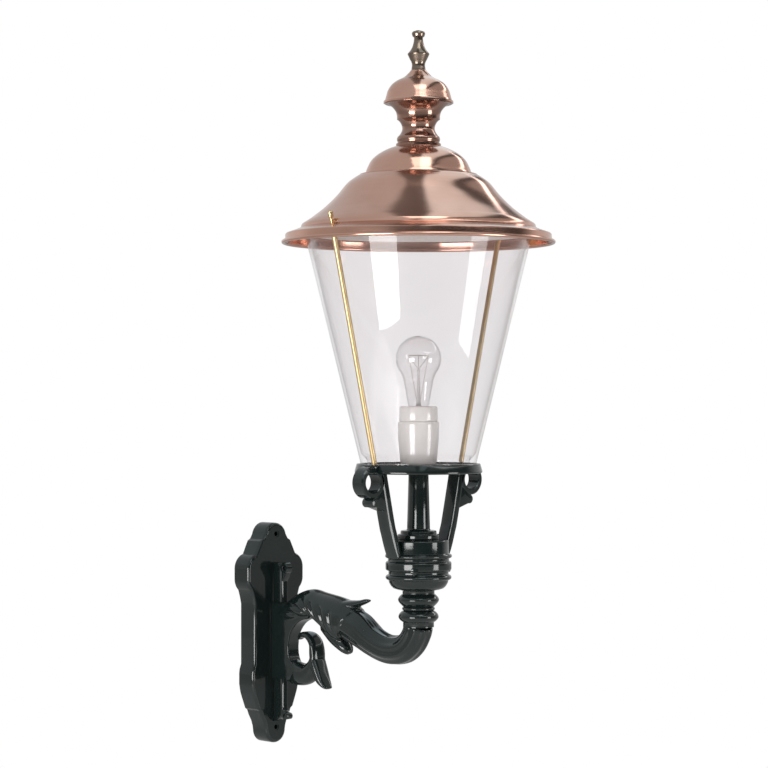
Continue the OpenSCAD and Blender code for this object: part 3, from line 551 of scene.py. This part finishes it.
glass_line = [
    (GLASS_FOOT - 1.5, GLASS_Z), (GLASS_FOOT, GLASS_Z + 1.5),
    (glass_r(GLASS_TOP - 1), GLASS_TOP - 1), (glass_r(GLASS_TOP) - 1, GLASS_TOP),
    (glass_r(GLASS_TOP) - GLASS_WALL + 1, GLASS_TOP), (glass_r(GLASS_TOP - 1) - GLASS_WALL, GLASS_TOP - 1),
    (glass_r(GLASS_Z + 16) - GLASS_WALL, GLASS_Z + 16),
    (glass_r(GLASS_Z + 10) - GLASS_WALL - 2.6, GLASS_Z + 11),
    (GLASS_FOOT - 8, GLASS_Z + 7), (GLASS_FOOT - 8.5, GLASS_Z + 1.5),
    (GLASS_FOOT - 7, GLASS_Z),
]
glass = turned("lantern_glass_shade", glass_line, sides=160)
soften(glass, 0.6, 25)
dress(glass, GLASS, ["glass_shade"], 30)

# Lampholder and bulb

HOLDER_Z = 236.5
INSERT_Z = HOLDER_Z + 22
INSERT_H = 22
SPLIT = HOLDER_Z + 57.7
HOLDER_TOP = SPLIT + 20
BULB_TOP = HOLDER_TOP + 92.8
BULB_R = 30.0
BULB_C = BULB_TOP - BULB_R
CAP_Z = INSERT_Z + INSERT_H + 3
CAP_LEN = 27.0
BULB_WALL = 0.8

body = turned("holder_body_porcelain", [
    (21.5, HOLDER_Z), (23.5, HOLDER_Z + 2), (24.6, HOLDER_Z + 10), (26.6, HOLDER_Z + 34),
    (27.3, SPLIT - 3), (26.3, SPLIT), (21.8, SPLIT), (21.8, HOLDER_Z + 14), (6.7, HOLDER_Z + 14),
    (6.7, HOLDER_Z)])
soften(body, 0.8, 20)
dress(body, PORCELAIN, ["holder_body"])
ring = turned("holder_ring_porcelain", [
    (24.6, SPLIT), (25.4, SPLIT + 1.6), (25.2, HOLDER_TOP - 2), (23.6, HOLDER_TOP),
    (17, HOLDER_TOP), (17, SPLIT)])
soften(ring, 0.8, 20)
dress(ring, PORCELAIN, ["holder_ring"])


def bulb_line(d):
    """The bulb's outline from its neck to the top, drawn in by d."""
    return (smooth([(12.2 - d, CAP_Z + 9), (12.2 - d, CAP_Z + CAP_LEN),
                    (14.2 - d, CAP_Z + CAP_LEN + 8), (16.4 - d, CAP_Z + CAP_LEN + 20),
                    (19.8 - d, BULB_C - 28)], 4)
            + arc((0, BULB_C), BULB_R - d, -40, 89.5, 30))


dress(turned("bulb_glass_globe", bulb_line(0) + bulb_line(BULB_WALL)[::-1], sides=96),
      BULB_GLASS, ["bulb_glass"], 60)
STEM_Z = CAP_Z + 9
STEM_TOP = BULB_C - 14
stem_line = (
    [(0, STEM_Z), (10.5, STEM_Z), (10.5, STEM_Z + 1)]
    + smooth([(6, STEM_Z + 8), (4, STEM_Z + 18), (2.6, STEM_Z + 34), (1.6, STEM_TOP - 4)], 5)
    + [(2.4, STEM_TOP - 2), (1.8, STEM_TOP), (0, STEM_TOP)])
dress(turned("bulb_stem_glass", stem_line, closed=False, sides=32),
      STEM_GLASS, ["bulb_stem"], 60)

# Castings: turned pieces


def bead(z, r, h, steps=10):
    """A half round bead on a turned profile, from below."""
    return arc((r - h / 2, z), h / 2, -90, 90, steps)


ARM_RISE = 25.0
KNUCKLE = 44.0
COLLAR_Z = ARM_RISE + KNUCKLE
COLLAR_TOP = COLLAR_Z + 70
RING_BOTTOM = RING_TOP - 12.5
FLOOR_TOP = RING_BOTTOM + 4
SPIGOT_R = 17.5
SPIGOT_H = 42
SOCKET_R = SPIGOT_R + 0.3
SOCKET_TOP = COLLAR_TOP - 11
ROD_R = 6.7

base_z = ARM_RISE - 1
knuckle_line = (
    [(5, base_z), (20.4, base_z), (20.4, base_z + 6)]
    + smooth([(20.8, base_z + 6.6), (23.6, base_z + 8.6), (26, base_z + 11.6), (26.4, base_z + 14.2),
              (25.4, base_z + 17.2), (22.8, base_z + 20), (20.6, base_z + 21.4)], 4)
    + bead(base_z + 24.2, 21.7, 4.4, 6)
    + smooth([(20.6, base_z + 27), (22.6, base_z + 29), (25.6, base_z + 32.4), (27, base_z + 35.6),
              (26.2, base_z + 38.6), (23.6, base_z + 41.6), (21.4, base_z + 43.4)], 4)
    + [(21.1, base_z + 44), (21.1, COLLAR_Z), (SPIGOT_R, COLLAR_Z),
       (SPIGOT_R, COLLAR_Z + SPIGOT_H), (5, COLLAR_Z + SPIGOT_H)])
knuckles = turned("arm_knuckles", knuckle_line)

collar_line = (
    [(SOCKET_R, COLLAR_Z), (21.1, COLLAR_Z), (21.1, COLLAR_Z + 3), (28.3, COLLAR_Z + 4.5),
     (33, COLLAR_Z + 6), (36.2, COLLAR_Z + 9), (38.8, COLLAR_Z + 13.5), (39.5, COLLAR_Z + 17)]
    + bead(COLLAR_Z + 20.5, 43.4, 6.5) + [(39.5, COLLAR_Z + 25), (39.5, COLLAR_Z + 29)]
    + arc((40.9, COLLAR_Z + 32), 2.5, -90, 0, 5)
    + [(43.4, COLLAR_Z + 39)] + arc((40.9, COLLAR_Z + 39), 2.5, 0, 90, 5)
    + [(40.4, COLLAR_Z + 43), (40, COLLAR_Z + 45)] + bead(COLLAR_Z + 48.5, 44, 5.5)
    + [(40, COLLAR_Z + 52)] + arc((37.5, COLLAR_TOP - 2.5), 2.5, 0, 90, 5)
    + [(ROD_R, COLLAR_TOP), (ROD_R, SOCKET_TOP), (SOCKET_R, SOCKET_TOP)])
collar = turned("fork_collar", collar_line)
soften(collar, 0.5, 30)

seat_r = glass_r(RING_TOP) + 1
ring_line = [
    (ROD_R, RING_BOTTOM), (83, RING_BOTTOM), (84, RING_BOTTOM + 1), (84, RING_BOTTOM + 3),
    (82.2, RING_TOP - 3), (81.6, RING_TOP - 0.8), (80.8, RING_TOP), (seat_r, RING_TOP),
    (seat_r, SEAL_Z), (65.9, SEAL_Z), (61.9, FLOOR_TOP), (ROD_R, FLOOR_TOP)]
fork_ring = turned("fork_ring", ring_line, sides=160)
soften(fork_ring, 0.7, 20)

column = turned("column_body", [
    (ROD_R, COLLAR_TOP), (27.6, COLLAR_TOP), (27.6, COLLAR_TOP + 6.3), (26.6, COLLAR_TOP + 7.3),
    (23.7, COLLAR_TOP + 7.3), (23.7, COLLAR_TOP + 11), (22.7, COLLAR_TOP + 12),
    (16.6, COLLAR_TOP + 12), (15.1, COLLAR_TOP + 14), (15.1, COLLAR_TOP + 16),
    (13.2, RING_BOTTOM), (ROD_R, RING_BOTTOM)])
soften(column, 0.7, 25)
dress(column, PAINT, ["column"])

# Castings: the two scroll legs. Centres and outlines are (out from the axis, up)

LEG_W = 20.0
LEG_T = 11.0
SCROLL_C = (91.5, RING_TOP - 23)
SCROLL_R = 20.5
HOLE_R = 13.0
NUB_C = (87.5, RING_TOP - 49)
FOOT_Z = COLLAR_Z + 50


def stood_up(outline, side, along):
    """An outline of (out, up) points as an upright section. In a body that is thick along x
    it lies so far past the lantern's axis, and in one that is thick along y so far from the
    arm's middle."""
    if along == "x":
        return [(REACH + side, out, up) for out, up in outline]
    return [(out, side, up) for out, up in outline]


def flat_body(name, outline, half_width, along="x"):
    """An outline thickened to both sides."""
    return lofted(name, [stood_up(outline, w, along) for w in (-half_width, half_width)])


def ring_body(name, centre, outer, inner, half_width, along="x"):
    """A flat ring with bevelled edges about a level axis."""
    bevel = 1.6
    edge = [(inner, -half_width + 1), (inner + 1, -half_width), (outer - bevel, -half_width),
            (outer, -half_width + bevel), (outer, half_width - bevel),
            (outer - bevel, half_width), (inner + 1, half_width), (inner, half_width - 1)]
    return ring_lofted(name, [
        stood_up([(centre[0] + r * c, centre[1] + r * s) for c, s in unit_circle(64)], w, along)
        for r, w in edge + edge[:1]])


def mirrored_y(piece):
    """The same shape on the other side of the lantern."""
    select_only(piece)
    bpy.ops.object.duplicate()
    twin = bpy.context.object
    bpy.ops.object.mode_set(mode="EDIT")
    bpy.ops.mesh.select_all(action="SELECT")
    bpy.ops.transform.resize(value=(1, -1, 1), center_override=(0, 0, 0))
    bpy.ops.mesh.normals_make_consistent(inside=False)
    bpy.ops.object.mode_set(mode="OBJECT")
    return twin


strap_line = smooth([(38, FOOT_Z + 1), (43.5, FOOT_Z + 14), (49, FOOT_Z + 31),
                     (53.4, FOOT_Z + 46), (67.5, RING_BOTTOM + 2)], 5)
leg_strap = soften(flat_body("leg_strap", sheet_outline(strap_line, LEG_T), LEG_W / 2), 1.2)
leg_scroll = ring_body("leg_scroll", SCROLL_C, SCROLL_R, HOLE_R, LEG_W / 2)
leg_web = flat_body("leg_web", (
    [(67, RING_BOTTOM - 1), (72, RING_TOP - 1), (SCROLL_C[0] - 2, RING_TOP - 0.6),
     (SCROLL_C[0] - 2, SCROLL_C[1] + SCROLL_R - 1)]
    + arc(SCROLL_C, HOLE_R + 1.5, 100, 215, 14)
    + [(73, SCROLL_C[1] - 8)]), LEG_W / 2 - 0.3)
soften(leg_web, 1.0)
leg_nub = flat_body("leg_hang", (
    [(66, NUB_C[1] - 12), (NUB_C[0] - 2, NUB_C[1] - 5.9)]
    + arc(NUB_C, 6.3, -80, 62, 12)
    + [(SCROLL_C[0] - 7, SCROLL_C[1] - 17.5), (72, SCROLL_C[1] - 8)]), LEG_W / 2 - 0.1)
soften(leg_nub, 1.2)
leg = joined("fork_leg_right", [leg_strap, leg_scroll, leg_web, leg_nub])
fork = joined("lantern_fork_casting", [collar, fork_ring, leg, mirrored_y(leg)])
dress(fork, PAINT, ["lantern_fork"], 38)

# Bracket: the arm, its leaf and the tail scroll


def out(k):
    """A place along the arm, as a share of the way from the plate to the lantern."""
    return PLATE_FACE + (REACH - PLATE_FACE) * k


WAY_Z = 22.0

# Stations of the bracket's curves: out, up, half the height and half the width
arm_line = [
    (out(0.525), 21, 22.5, 21.3), (out(0.615), ARM_RISE - 13, 23, 21.5),
    (out(0.695), ARM_RISE - 25, 20, 20), (out(0.775), ARM_RISE - 33, 19, 19.5),
    (out(0.84), ARM_RISE - 35, 19, 19), (out(0.91), ARM_RISE - 31.5, 19, 19),
    (out(0.96), ARM_RISE - 22, 19, 19), (out(0.99), ARM_RISE - 10, 19, 19),
    (out(1), ARM_RISE, 19, 19)]
leaf_line = [
    (out(0.03), WAY_Z - 2, 17, 9), (out(0.12), WAY_Z + 6, 16, 13), (out(0.19), 37, 17.5, 17.5),
    (out(0.27), 42.3, 19.6, 20.5), (out(0.33), 39.8, 20.2, 21.8), (out(0.42), 31, 26, 24),
    (out(0.49), 23.5, 29.5, 24.5), (out(0.55), 17.5, 27, 22.8)]

# The leaf's slanting cuts, as shares of its length, and its depths in millimetres
SLASHES = (0.20, 0.33, 0.46, 0.59, 0.72, 0.86)
SLASH_STEP = 0.13
SLASH_WIDTH = 0.017
SLASH_SLANT = 0.42
SLASH_DEPTH = 3.0
LOBE_RISE = 1.3
LOW_LOBE_RISE = 0.6
ARM_FLUTE = 0.9


def step_up(value, low, high):
    """0 below low, 1 above high, and a smooth rise between them."""
    t = min(max((value - low) / (high - low), 0.0), 1.0)
    return t * t * (3 - 2 * t)


def arm_flute(x, a):
    """How far the plain arm's surface stands out at the angle a, in nine shallow flutes."""
    return ARM_FLUTE * math.cos(9 * a + 0.02 * x)


def leaf_ridge(s, a):
    """How far the leaf's surface stands out, s along it from 0 to 1 and at the angle a from
    its top: slanting cuts in each flank with a raised lobe between each two, and lower lobes
    round its underside."""
    from_below = abs(math.degrees(a) - 180)
    along = s + (from_below - 80) / 180 * SLASH_SLANT
    flank = step_up(from_below, 34, 56) * (1 - step_up(from_below, 98, 118))
    underside = 1 - step_up(from_below, 55, 100)
    cuts = sum(math.exp(-((along - c) / SLASH_WIDTH) ** 2) for c in SLASHES)
    raised = 0.5 + 0.5 * math.cos(2 * math.pi * (along - SLASHES[0]) / SLASH_STEP + math.pi)
    low_lobes = underside * LOW_LOBE_RISE * raised * step_up(s, 0.1, 0.4)
    return flank * (LOBE_RISE * raised - SLASH_DEPTH * cuts) + low_lobes


def leaf_edge(a):
    """How far the leaf's end reaches out over the arm at the angle a."""
    return 5 * math.cos(a) - 3 * abs(math.sin(a)) ** 3


def arm_ring(station, h, bulge, reach=None, share=1.0, sides=96):
    """A section of the arm or leaf, square to the heading h. The bulge and the reach along
    the heading are given for the angle from the top, and the share draws the section in."""
    x, z, half_height, half_width = station
    points = []
    for k in range(sides):
        a = 2 * math.pi * k / sides
        grow = (1 + bulge(a) / half_height) * share
        u = half_height * math.cos(a) * grow
        v = half_width * math.sin(a) * grow
        e = reach(a) if reach else 0
        points.append((x - h.y * u + h.x * e, v, z + h.x * u + h.y * e))
    return points


def leaf_ring(station, h, s, share=1.0, back=0.0):
    """A section of the leaf, drawn back by so many millimetres."""
    return arm_ring(station, h, lambda a: leaf_ridge(s, a),
                    lambda a: leaf_edge(a) * s ** 4 - back, share)


leaf = smooth(leaf_line, 20)
tube = smooth(arm_line, 8)
end = len(leaf) - 1
rings = [leaf_ring(p, heading(leaf, i), i / end) for i, p in enumerate(leaf)]
rings += [leaf_ring(leaf[end], heading(leaf, end), 1, share, back)
          for share, back in ((0.95, -0.4), (0.89, 1.5), (0.84, 4))]
rings += [arm_ring(p, heading(tube, i), lambda a, x=p[0]: arm_flute(x, a))
          for i, p in enumerate(tube)]
arm = lofted("arm_tube", rings)


def swept(name, stations, steps, sides, power=1.0, flutes=0.0):
    """A body swept along an upright curve. Its sections are oval, squarish where the power
    is below 1, and ribbed by this share where it has flutes."""
    line = smooth(stations, steps)
    sections = []
    for i, (x, z, half_height, half_width) in enumerate(line):
        h = heading(line, i)
        section = []
        for c, s in unit_circle(sides):
            rib = 1 + flutes * math.cos(3 * math.pi * s)
            u = half_height * math.copysign(abs(c) ** power, c) * rib
            v = half_width * math.copysign(abs(s) ** power, s)
            section.append((x - h.y * u, v, z + h.x * u))
        sections.append(section)
    return lofted(name, sections)


tip = swept("leaf_tip", [
    (out(0.50), 44, 7, 15), (out(0.555), 46, 5.5, 12.5), (out(0.605), 48.5, 4, 8.5),
    (out(0.645), 51.5, 3.2, 5), (out(0.675), 53, 1.4, 2)], 6, 32)
lobe = swept("leaf_lobe", [
    (out(0.38), 14, 9, 15), (out(0.44), 0, 9.5, 14.5), (out(0.485), -9, 8.5, 13),
    (out(0.515), -16, 6.5, 10), (out(0.53), -21, 3.5, 5.5)], 8, 72, flutes=0.16)
tail = swept("tail_scroll", [
    (40, -46, 18, 6.5), (58, -52, 17.5, 9), (78, -56.5, 16, 11), (96, -54.5, 14, 12),
    (109.5, -42, 9, 12.5), (114, -27, 5.2, 12.5), (110, -11, 4.6, 12.5), (99, -2, 4.4, 11.5),
    (86, -2, 3.8, 9), (78, -8, 2.2, 5)], 8, 48, 0.75)
fluke = swept("tail_fluke", [
    (109, -14, 2.5, 11), (112, -28, 5, 12.5), (117, -45, 7.2, 13), (124, -60, 6.5, 12),
    (131.5, -68.5, 4, 9.5), (137, -72, 1.8, 6)], 8, 40, 0.8)

BAR_BACK = PLATE_FACE
BAR_FACE = PLATE_FACE + 18
BAR = 5.5
EYE_C = (BAR_FACE + 3, 88)
KNOB_C = (BAR_FACE + 6, -117.5)
root = soften(flat_body("arm_root", (
    [(BAR_BACK, 40), (BAR_BACK + 19, 41), (out(0.2), 42), (out(0.3), 34)]
    + smooth([(out(0.265), 21), (out(0.22), 18.5), (out(0.175), 11), (out(0.14), -2),
              (out(0.128), -16), (out(0.13), -30), (out(0.15), -42), (out(0.19), -50)], 6)
    + [(BAR_BACK + 34, -66), (BAR_BACK + 21, -66), (BAR_BACK, -65)]),
    BAR + 5, "y"), 6.5, segments=5)
bar = soften(flat_body("foot_bar", [
    (BAR_BACK, -127), (BAR_BACK + 9, -124), (BAR_FACE - 3, -118), (BAR_FACE + 3, -121.5),
    (BAR_FACE + 7, -114.5), (BAR_FACE + 2, -111), (BAR_FACE, -102), (BAR_FACE, 84),
    (BAR_FACE - 4, 88), (BAR_FACE - 8, 95), (BAR_BACK, 95)], BAR, "y"), 1.0)
knob = rod("bar_knob", (KNOB_C[0], -BAR, KNOB_C[1]), (KNOB_C[0], BAR, KNOB_C[1]), 4.6, 32)
soften(knob, 1.0)
eye = ring_body("bar_eye", EYE_C, 8, 2.8, BAR, "y")
neck = soften(flat_body("bar_neck", [
    (BAR_FACE - 2, 66), (BAR_FACE + 6, 80.5), (BAR_FACE + 2, 82), (BAR_FACE - 3, 86),
    (BAR_FACE - 6, 92), (BAR_FACE - 6, 66)], BAR - 0.2, "y"), 0.8)

# One fine remesh melts the sculpted forms into a single casting
casting = joined("bracket_sculpted", [arm, tip, lobe, tail, fluke, root])
add_modifier(casting, "REMESH", mode="VOXEL", voxel_size=1.15 * MM)
add_modifier(casting, "SMOOTH", factor=0.5, iterations=5)
bracket = joined("bracket_arm_casting", [casting, bar, knob, eye, neck, knuckles])
dress(bracket, PAINT, ["bracket_arm"], 42)

# Wall plate

PLATE_TOP = 150.5
PLATE_DROP = 157.0
PLATE_BEVEL = 5
PLATE_WALL = 4
BEVEL_IN = 3.5
FIXING_Z = 135
EARTH_Y, EARTH_Z = 24, 10


def plate_half(d):
    """Half the plate's outline from top to bottom, drawn in by d."""
    waist, foot, head = 40.0, 43.5, 52.0
    return (
        arc((0, PLATE_TOP - 20), 20 - d, 90, 12, 16)
        + [(23.5 - d, PLATE_TOP - 22.5), (28 - d, PLATE_TOP - 25)]
        + arc((head - 21, 87), 21 - d, 74, 0, 12) + arc((head - 21, 73), 21 - d, 0, -48, 10)[1:]
        + smooth([(waist + 2 - d, 47), (waist - d, 38)], 3)
        + [(waist - d, -46), (foot - 1 - d, -52), (foot - d, -58)]
        + smooth([(foot - d, -73), (foot - 2 - d, -84), (foot - 5.5 - d, -94),
                  (foot - 11 - d, -108)], 3)
        + [(foot - 14.5 - d, -110.5), (foot - 17.5 - d, -118)]
        + [(21.5 - d, -PLATE_DROP + 31), (18.8 - d, -PLATE_DROP + 23)]
        + arc((0, -PLATE_DROP + 18), 18 - d, 0, -90, 14))


def plate_section(x, d):
    """The plate's whole outline, drawn in by d, at this distance from the wall."""
    half = plate_half(d)
    return [(x, y, z) for y, z in half] + [(x, -y, z) for y, z in half[-2:0:-1]]


def plate_rod(name, start, end, radius, sides, y=0, z=0):
    """A round bar square to the wall, between two distances from it."""
    return rod(name, (start, y, z), (end, y, z), radius, sides)


EDGE_X = PLATE_FACE - PLATE_BEVEL
plate = lofted("plate_body", [plate_section(0, 0), plate_section(EDGE_X, 0)]
               + [plate_section(EDGE_X + PLATE_BEVEL * math.sin(t), BEVEL_IN * (1 - math.cos(t)))
                  for t in (0.35, 0.75, 1.15, math.pi / 2)]
               + [plate_section(PLATE_FACE, BEVEL_IN + 1)])
cut(plate, lofted("plate_hollow", [plate_section(-2, PLATE_WALL),
                                   plate_section(PLATE_FACE - PLATE_WALL, PLATE_WALL)]))
for z in (-FIXING_Z, FIXING_Z):
    cut(plate, plate_rod("boss", 1, PLATE_FACE - 2, 7.25, 40, z=z), "UNION")
for z in (-FIXING_Z, FIXING_Z):
    cut(plate, plate_rod("drill", -3, PLATE_FACE + 3, 3.25, 32, z=z))
    cut(plate, plate_rod("dimple", PLATE_FACE - 0.8, PLATE_FACE + 3, 5.0, 32, z=z))
post = plate_rod("earth_post", PLATE_FACE - 10, PLATE_FACE - 3, 5, 32, EARTH_Y, EARTH_Z)
cut(post, plate_rod("drill", PLATE_FACE - 11, PLATE_FACE - 4.5, 2, 24, EARTH_Y, EARTH_Z))
cut(plate, post, "UNION")
plate.name = "wall_plate_casting"
plate.data.name = plate.name
dress(plate, PAINT, ["wall_plate"], 30)

# Set screws in the collar

SCREW_TURN = (-52, 68, 188)
SCREW_Z = COLLAR_Z + 31
SCREW_END = 44.6
SLOT_R = 43.4
SLOT_HALF = 6
SLOT_LIFT = 1.2


def collar_place(turn, radius, across=0.0):
    """A place at the screws' height, so far from the axis and so far across."""
    c, s = math.cos(math.radians(turn)), math.sin(math.radians(turn))
    return (REACH + radius * c - across * s, radius * s + across * c, SCREW_Z)


screws = []
for turn in SCREW_TURN:
    screw = rod("set_screw", collar_place(turn, SPIGOT_R), collar_place(turn, SCREW_END), 5, 40)
    soften(screw, 0.6)
    groove = rod("slot", collar_place(turn, SLOT_R, SLOT_HALF),
                 collar_place(turn, SLOT_R, -SLOT_HALF), 0.9, 4)
    c, s = math.cos(math.radians(turn)), math.sin(math.radians(turn))
    shift_active((SLOT_LIFT * c * MM, SLOT_LIFT * s * MM, 0))
    cut(screw, groove)
    screws.append(screw)
dress(joined("collar_set_screws_slotted", screws), PAINT, ["collar_set_screws"])

# Tie rods, sleeves and cap nuts

SLEEVE_R = 3.4
TIE_GAP = 0.3
TILT = math.atan(SLOPE)
TIE_OFF = (SLEEVE_R + TIE_GAP) / math.cos(TILT)
NUT_Z = RIM_Z + 24.2
NUT_H = 8.8
NUT_R = 3.4


def tie_point(side, z, shift=0.0):
    """A place on a tie rod's axis, moved along it by the shift."""
    away = glass_r(z) + TIE_OFF + shift * math.sin(TILT)
    return (REACH, side * away, z + shift * math.cos(TILT))


for side, word in ((-1, "left"), (1, "right")):
    sleeve_low, sleeve_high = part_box("tie_sleeve_" + word)
    sleeve = rod("sleeve_" + word, tie_point(side, sleeve_low[2] / MM + 1),
                 tie_point(side, sleeve_high[2] / MM - 1.2), SLEEVE_R, 40)
    dress(sleeve, BRASS, ["tie_sleeve_" + word])
nuts = []
for side in (-1, 1):
    nut = rod("nut", tie_point(side, NUT_Z), tie_point(side, NUT_Z, NUT_H), NUT_R, 40)
    soften(nut, 1.1, segments=3)
    nuts.append(nut)
dress(joined("tie_cap_nuts_brass", nuts), BRASS, ["tie_cap_nuts"])

# CAD pieces that keep their own shape get their finish
KEPT = {
    STEEL: ["foot_bar_bolts", "roof_rod", "roof_rod_nut"],
    BRASS: ["terminal_screws", "earth_screw", "hollow_rod", "hollow_rod_nuts", "tie_rod_left",
            "tie_rod_right", "screw_shell", "centre_contact"],
    SHELL: ["bulb_cap"],
    WIRE: ["bulb_wires", "bulb_filament"],
    PORCELAIN: ["holder_insert"],
    SEAL: ["glass_seal_lower", "glass_seal_upper"],
    LEAD: ["inner_lead"],
    BLOCK: ["terminal_block"],
}
for material, names in KEPT.items():
    for name in names:
        for slot in nodes[name].material_slots:
            slot.material = material

# Camera, at the photo's angle. Lengths are metres, and pixels are the photo's

SENSOR_MM = 36.0
FOCAL_PX = 2413.0
FRAME_PX = 768.0
DISTANCE = 3.175
EYE_Z = 0.329
AXIS_PX = 418.5
HORIZON_PX = 395.0
AZIMUTH = math.radians(45)
centre = Vector((REACH * MM, 0, EYE_Z))
camera_data = bpy.data.cameras.new("camera")
camera = bpy.data.objects.new("camera", camera_data)
bpy.context.scene.collection.objects.link(camera)
camera.location = centre + Vector((math.sin(AZIMUTH), -math.cos(AZIMUTH), 0)) * DISTANCE
camera.rotation_euler = (math.pi / 2, 0, AZIMUTH)
camera_data.sensor_width = SENSOR_MM
camera_data.lens = FOCAL_PX / FRAME_PX * SENSOR_MM
camera_data.shift_x = -(AXIS_PX - FRAME_PX / 2) / FRAME_PX
camera_data.shift_y = (HORIZON_PX - FRAME_PX / 2) / FRAME_PX
camera_data.clip_end = 100.0
bpy.context.scene.camera = camera
bpy.context.scene.view_settings.view_transform = "Standard"

# Studio light


def soft_box(name, turn, distance, height, size, power, aim_z):
    """A soft box turned about the lantern by so many degrees from the camera, and aimed at
    its axis. Lengths are metres."""
    a = AZIMUTH + math.radians(turn)
    spot = Vector((REACH * MM + math.sin(a) * distance, -math.cos(a) * distance, height))
    data = bpy.data.lights.new(name, "AREA")
    data.shape = "RECTANGLE"
    data.size, data.size_y = size
    data.energy = power
    lamp = bpy.data.objects.new(name, data)
    bpy.context.scene.collection.objects.link(lamp)
    lamp.location = spot
    aim = Vector((REACH * MM, 0, aim_z)) - spot
    lamp.rotation_euler = aim.to_track_quat("-Z", "Y").to_euler()


soft_box("soft_box_left", turn=-36, distance=2.3, height=0.02, size=(1.2, 0.8), power=32, aim_z=0.1)
soft_box("soft_box_right", turn=64, distance=2.2, height=0.02, size=(0.75, 0.8), power=14, aim_z=0.1)
soft_box("top_box", turn=10, distance=1.2, height=2.3, size=(1.2, 1.2), power=10, aim_z=0.4)

# The world: white for camera and transmission rays, and for glossy rays a studio with dark
# sides, a pale wall, a striped ceiling and a slanting window. All other rays get even light
world = bpy.data.worlds.new("studio")
bpy.context.scene.world = world
w = Finish("studio", world)
direction = w.node("ShaderNodeTexCoord", out="Generated")


def towards(x, y, z):
    """How far the direction points this way, from -1 to 1."""
    return w.node("ShaderNodeVectorMath", {"operation": "DOT_PRODUCT"},
                  {0: direction, 1: (x, y, z)}, out="Value")


def blended(share, first, second):
    """From the first colour to the second, as the share goes from 0 to 1."""
    return w.node("ShaderNodeMix", {"data_type": "RGBA"}, {0: share, 6: first, 7: second}, out=2)


def background(colour, strength):
    """Light of this colour from all round."""
    return w.node("ShaderNodeBackground", None, {"Color": colour, "Strength": strength})


def rise(value, low, high):
    """0 below low, 1 above high, and a smooth rise between them."""
    return w.node("ShaderNodeMapRange", {"interpolation_type": "SMOOTHSTEP"},
                  {"Value": value, "From Min": low, "From Max": high})


ahead = towards(-math.sin(AZIMUTH), math.cos(AZIMUTH), 0)
right = towards(math.cos(AZIMUTH), math.sin(AZIMUTH), 0)
up = towards(0, 0, 1)
sides = w.ramp(right * 0.5 + 0.5, [(0.0, grey(0.55)), (0.35, grey(0.14)), (0.7, grey(0.06)),
                                   (1.0, grey(0.08))])
walls = blended(rise(ahead, 0.1, 0.6), sides, grey(0.72))
ceiling = w.ramp(right / up * 0.5 + 0.5, [
    (0.39, rgb(0.62, 0.66, 0.68)), (0.42, grey(0.19)), (0.53, grey(0.14)),
    (0.545, rgb(1.05, 1.25, 1.33)), (0.74, rgb(0.95, 1.1, 1.15)), (0.775, grey(0.08)),
    (0.84, grey(0.1)), (0.90, grey(0.45))])
room = blended(rise(up, 0.26, 0.40), walls, ceiling)
slant = right + up * 2.5
window = (rise(slant, 1.63, 1.66) * (1 - rise(slant, 1.90, 1.94))
          * rise(up, 0.36, 0.40) * (1 - rise(up, 0.54, 0.60)))
studio_light = blended(window, room, grey(3.2))
glossy, seen, through = w.node("ShaderNodeLightPath", out=(
    "Is Glossy Ray", "Is Camera Ray", "Is Transmission Ray"))
unseen = w.node("ShaderNodeMixShader", None, {
    0: glossy, 1: background(rgb(1.0, 0.995, 0.99), 0.5), 2: background(studio_light, 1.0)})
w.output(w.node("ShaderNodeMixShader", None, {
    0: seen + through, 1: unseen, 2: background(grey(1), 1.0)}), "ShaderNodeOutputWorld")

# Pale floor, in metres, well below the lantern: white for camera and transmission rays, and
# lit like plain paint for all others
FLOOR_Z = -0.62
FLOOR_SIZE = 60
bpy.ops.object.select_all(action="DESELECT")
bpy.ops.mesh.primitive_plane_add(size=FLOOR_SIZE, location=(0, 0, 0))
floor = bpy.context.object
floor.name = "floor"
shift_active((0, 0, FLOOR_Z))
g = Finish("pale_floor")
seen, through = g.node("ShaderNodeLightPath", out=("Is Camera Ray", "Is Transmission Ray"))
lit = g.node("ShaderNodeBsdfDiffuse", None, {"Color": grey(0.86)})
white = g.node("ShaderNodeEmission", None, {"Color": grey(1), "Strength": 1.0})
floor.data.materials.append(
    g.output(g.node("ShaderNodeMixShader", None, {0: seen + through, 1: lit, 2: white})))
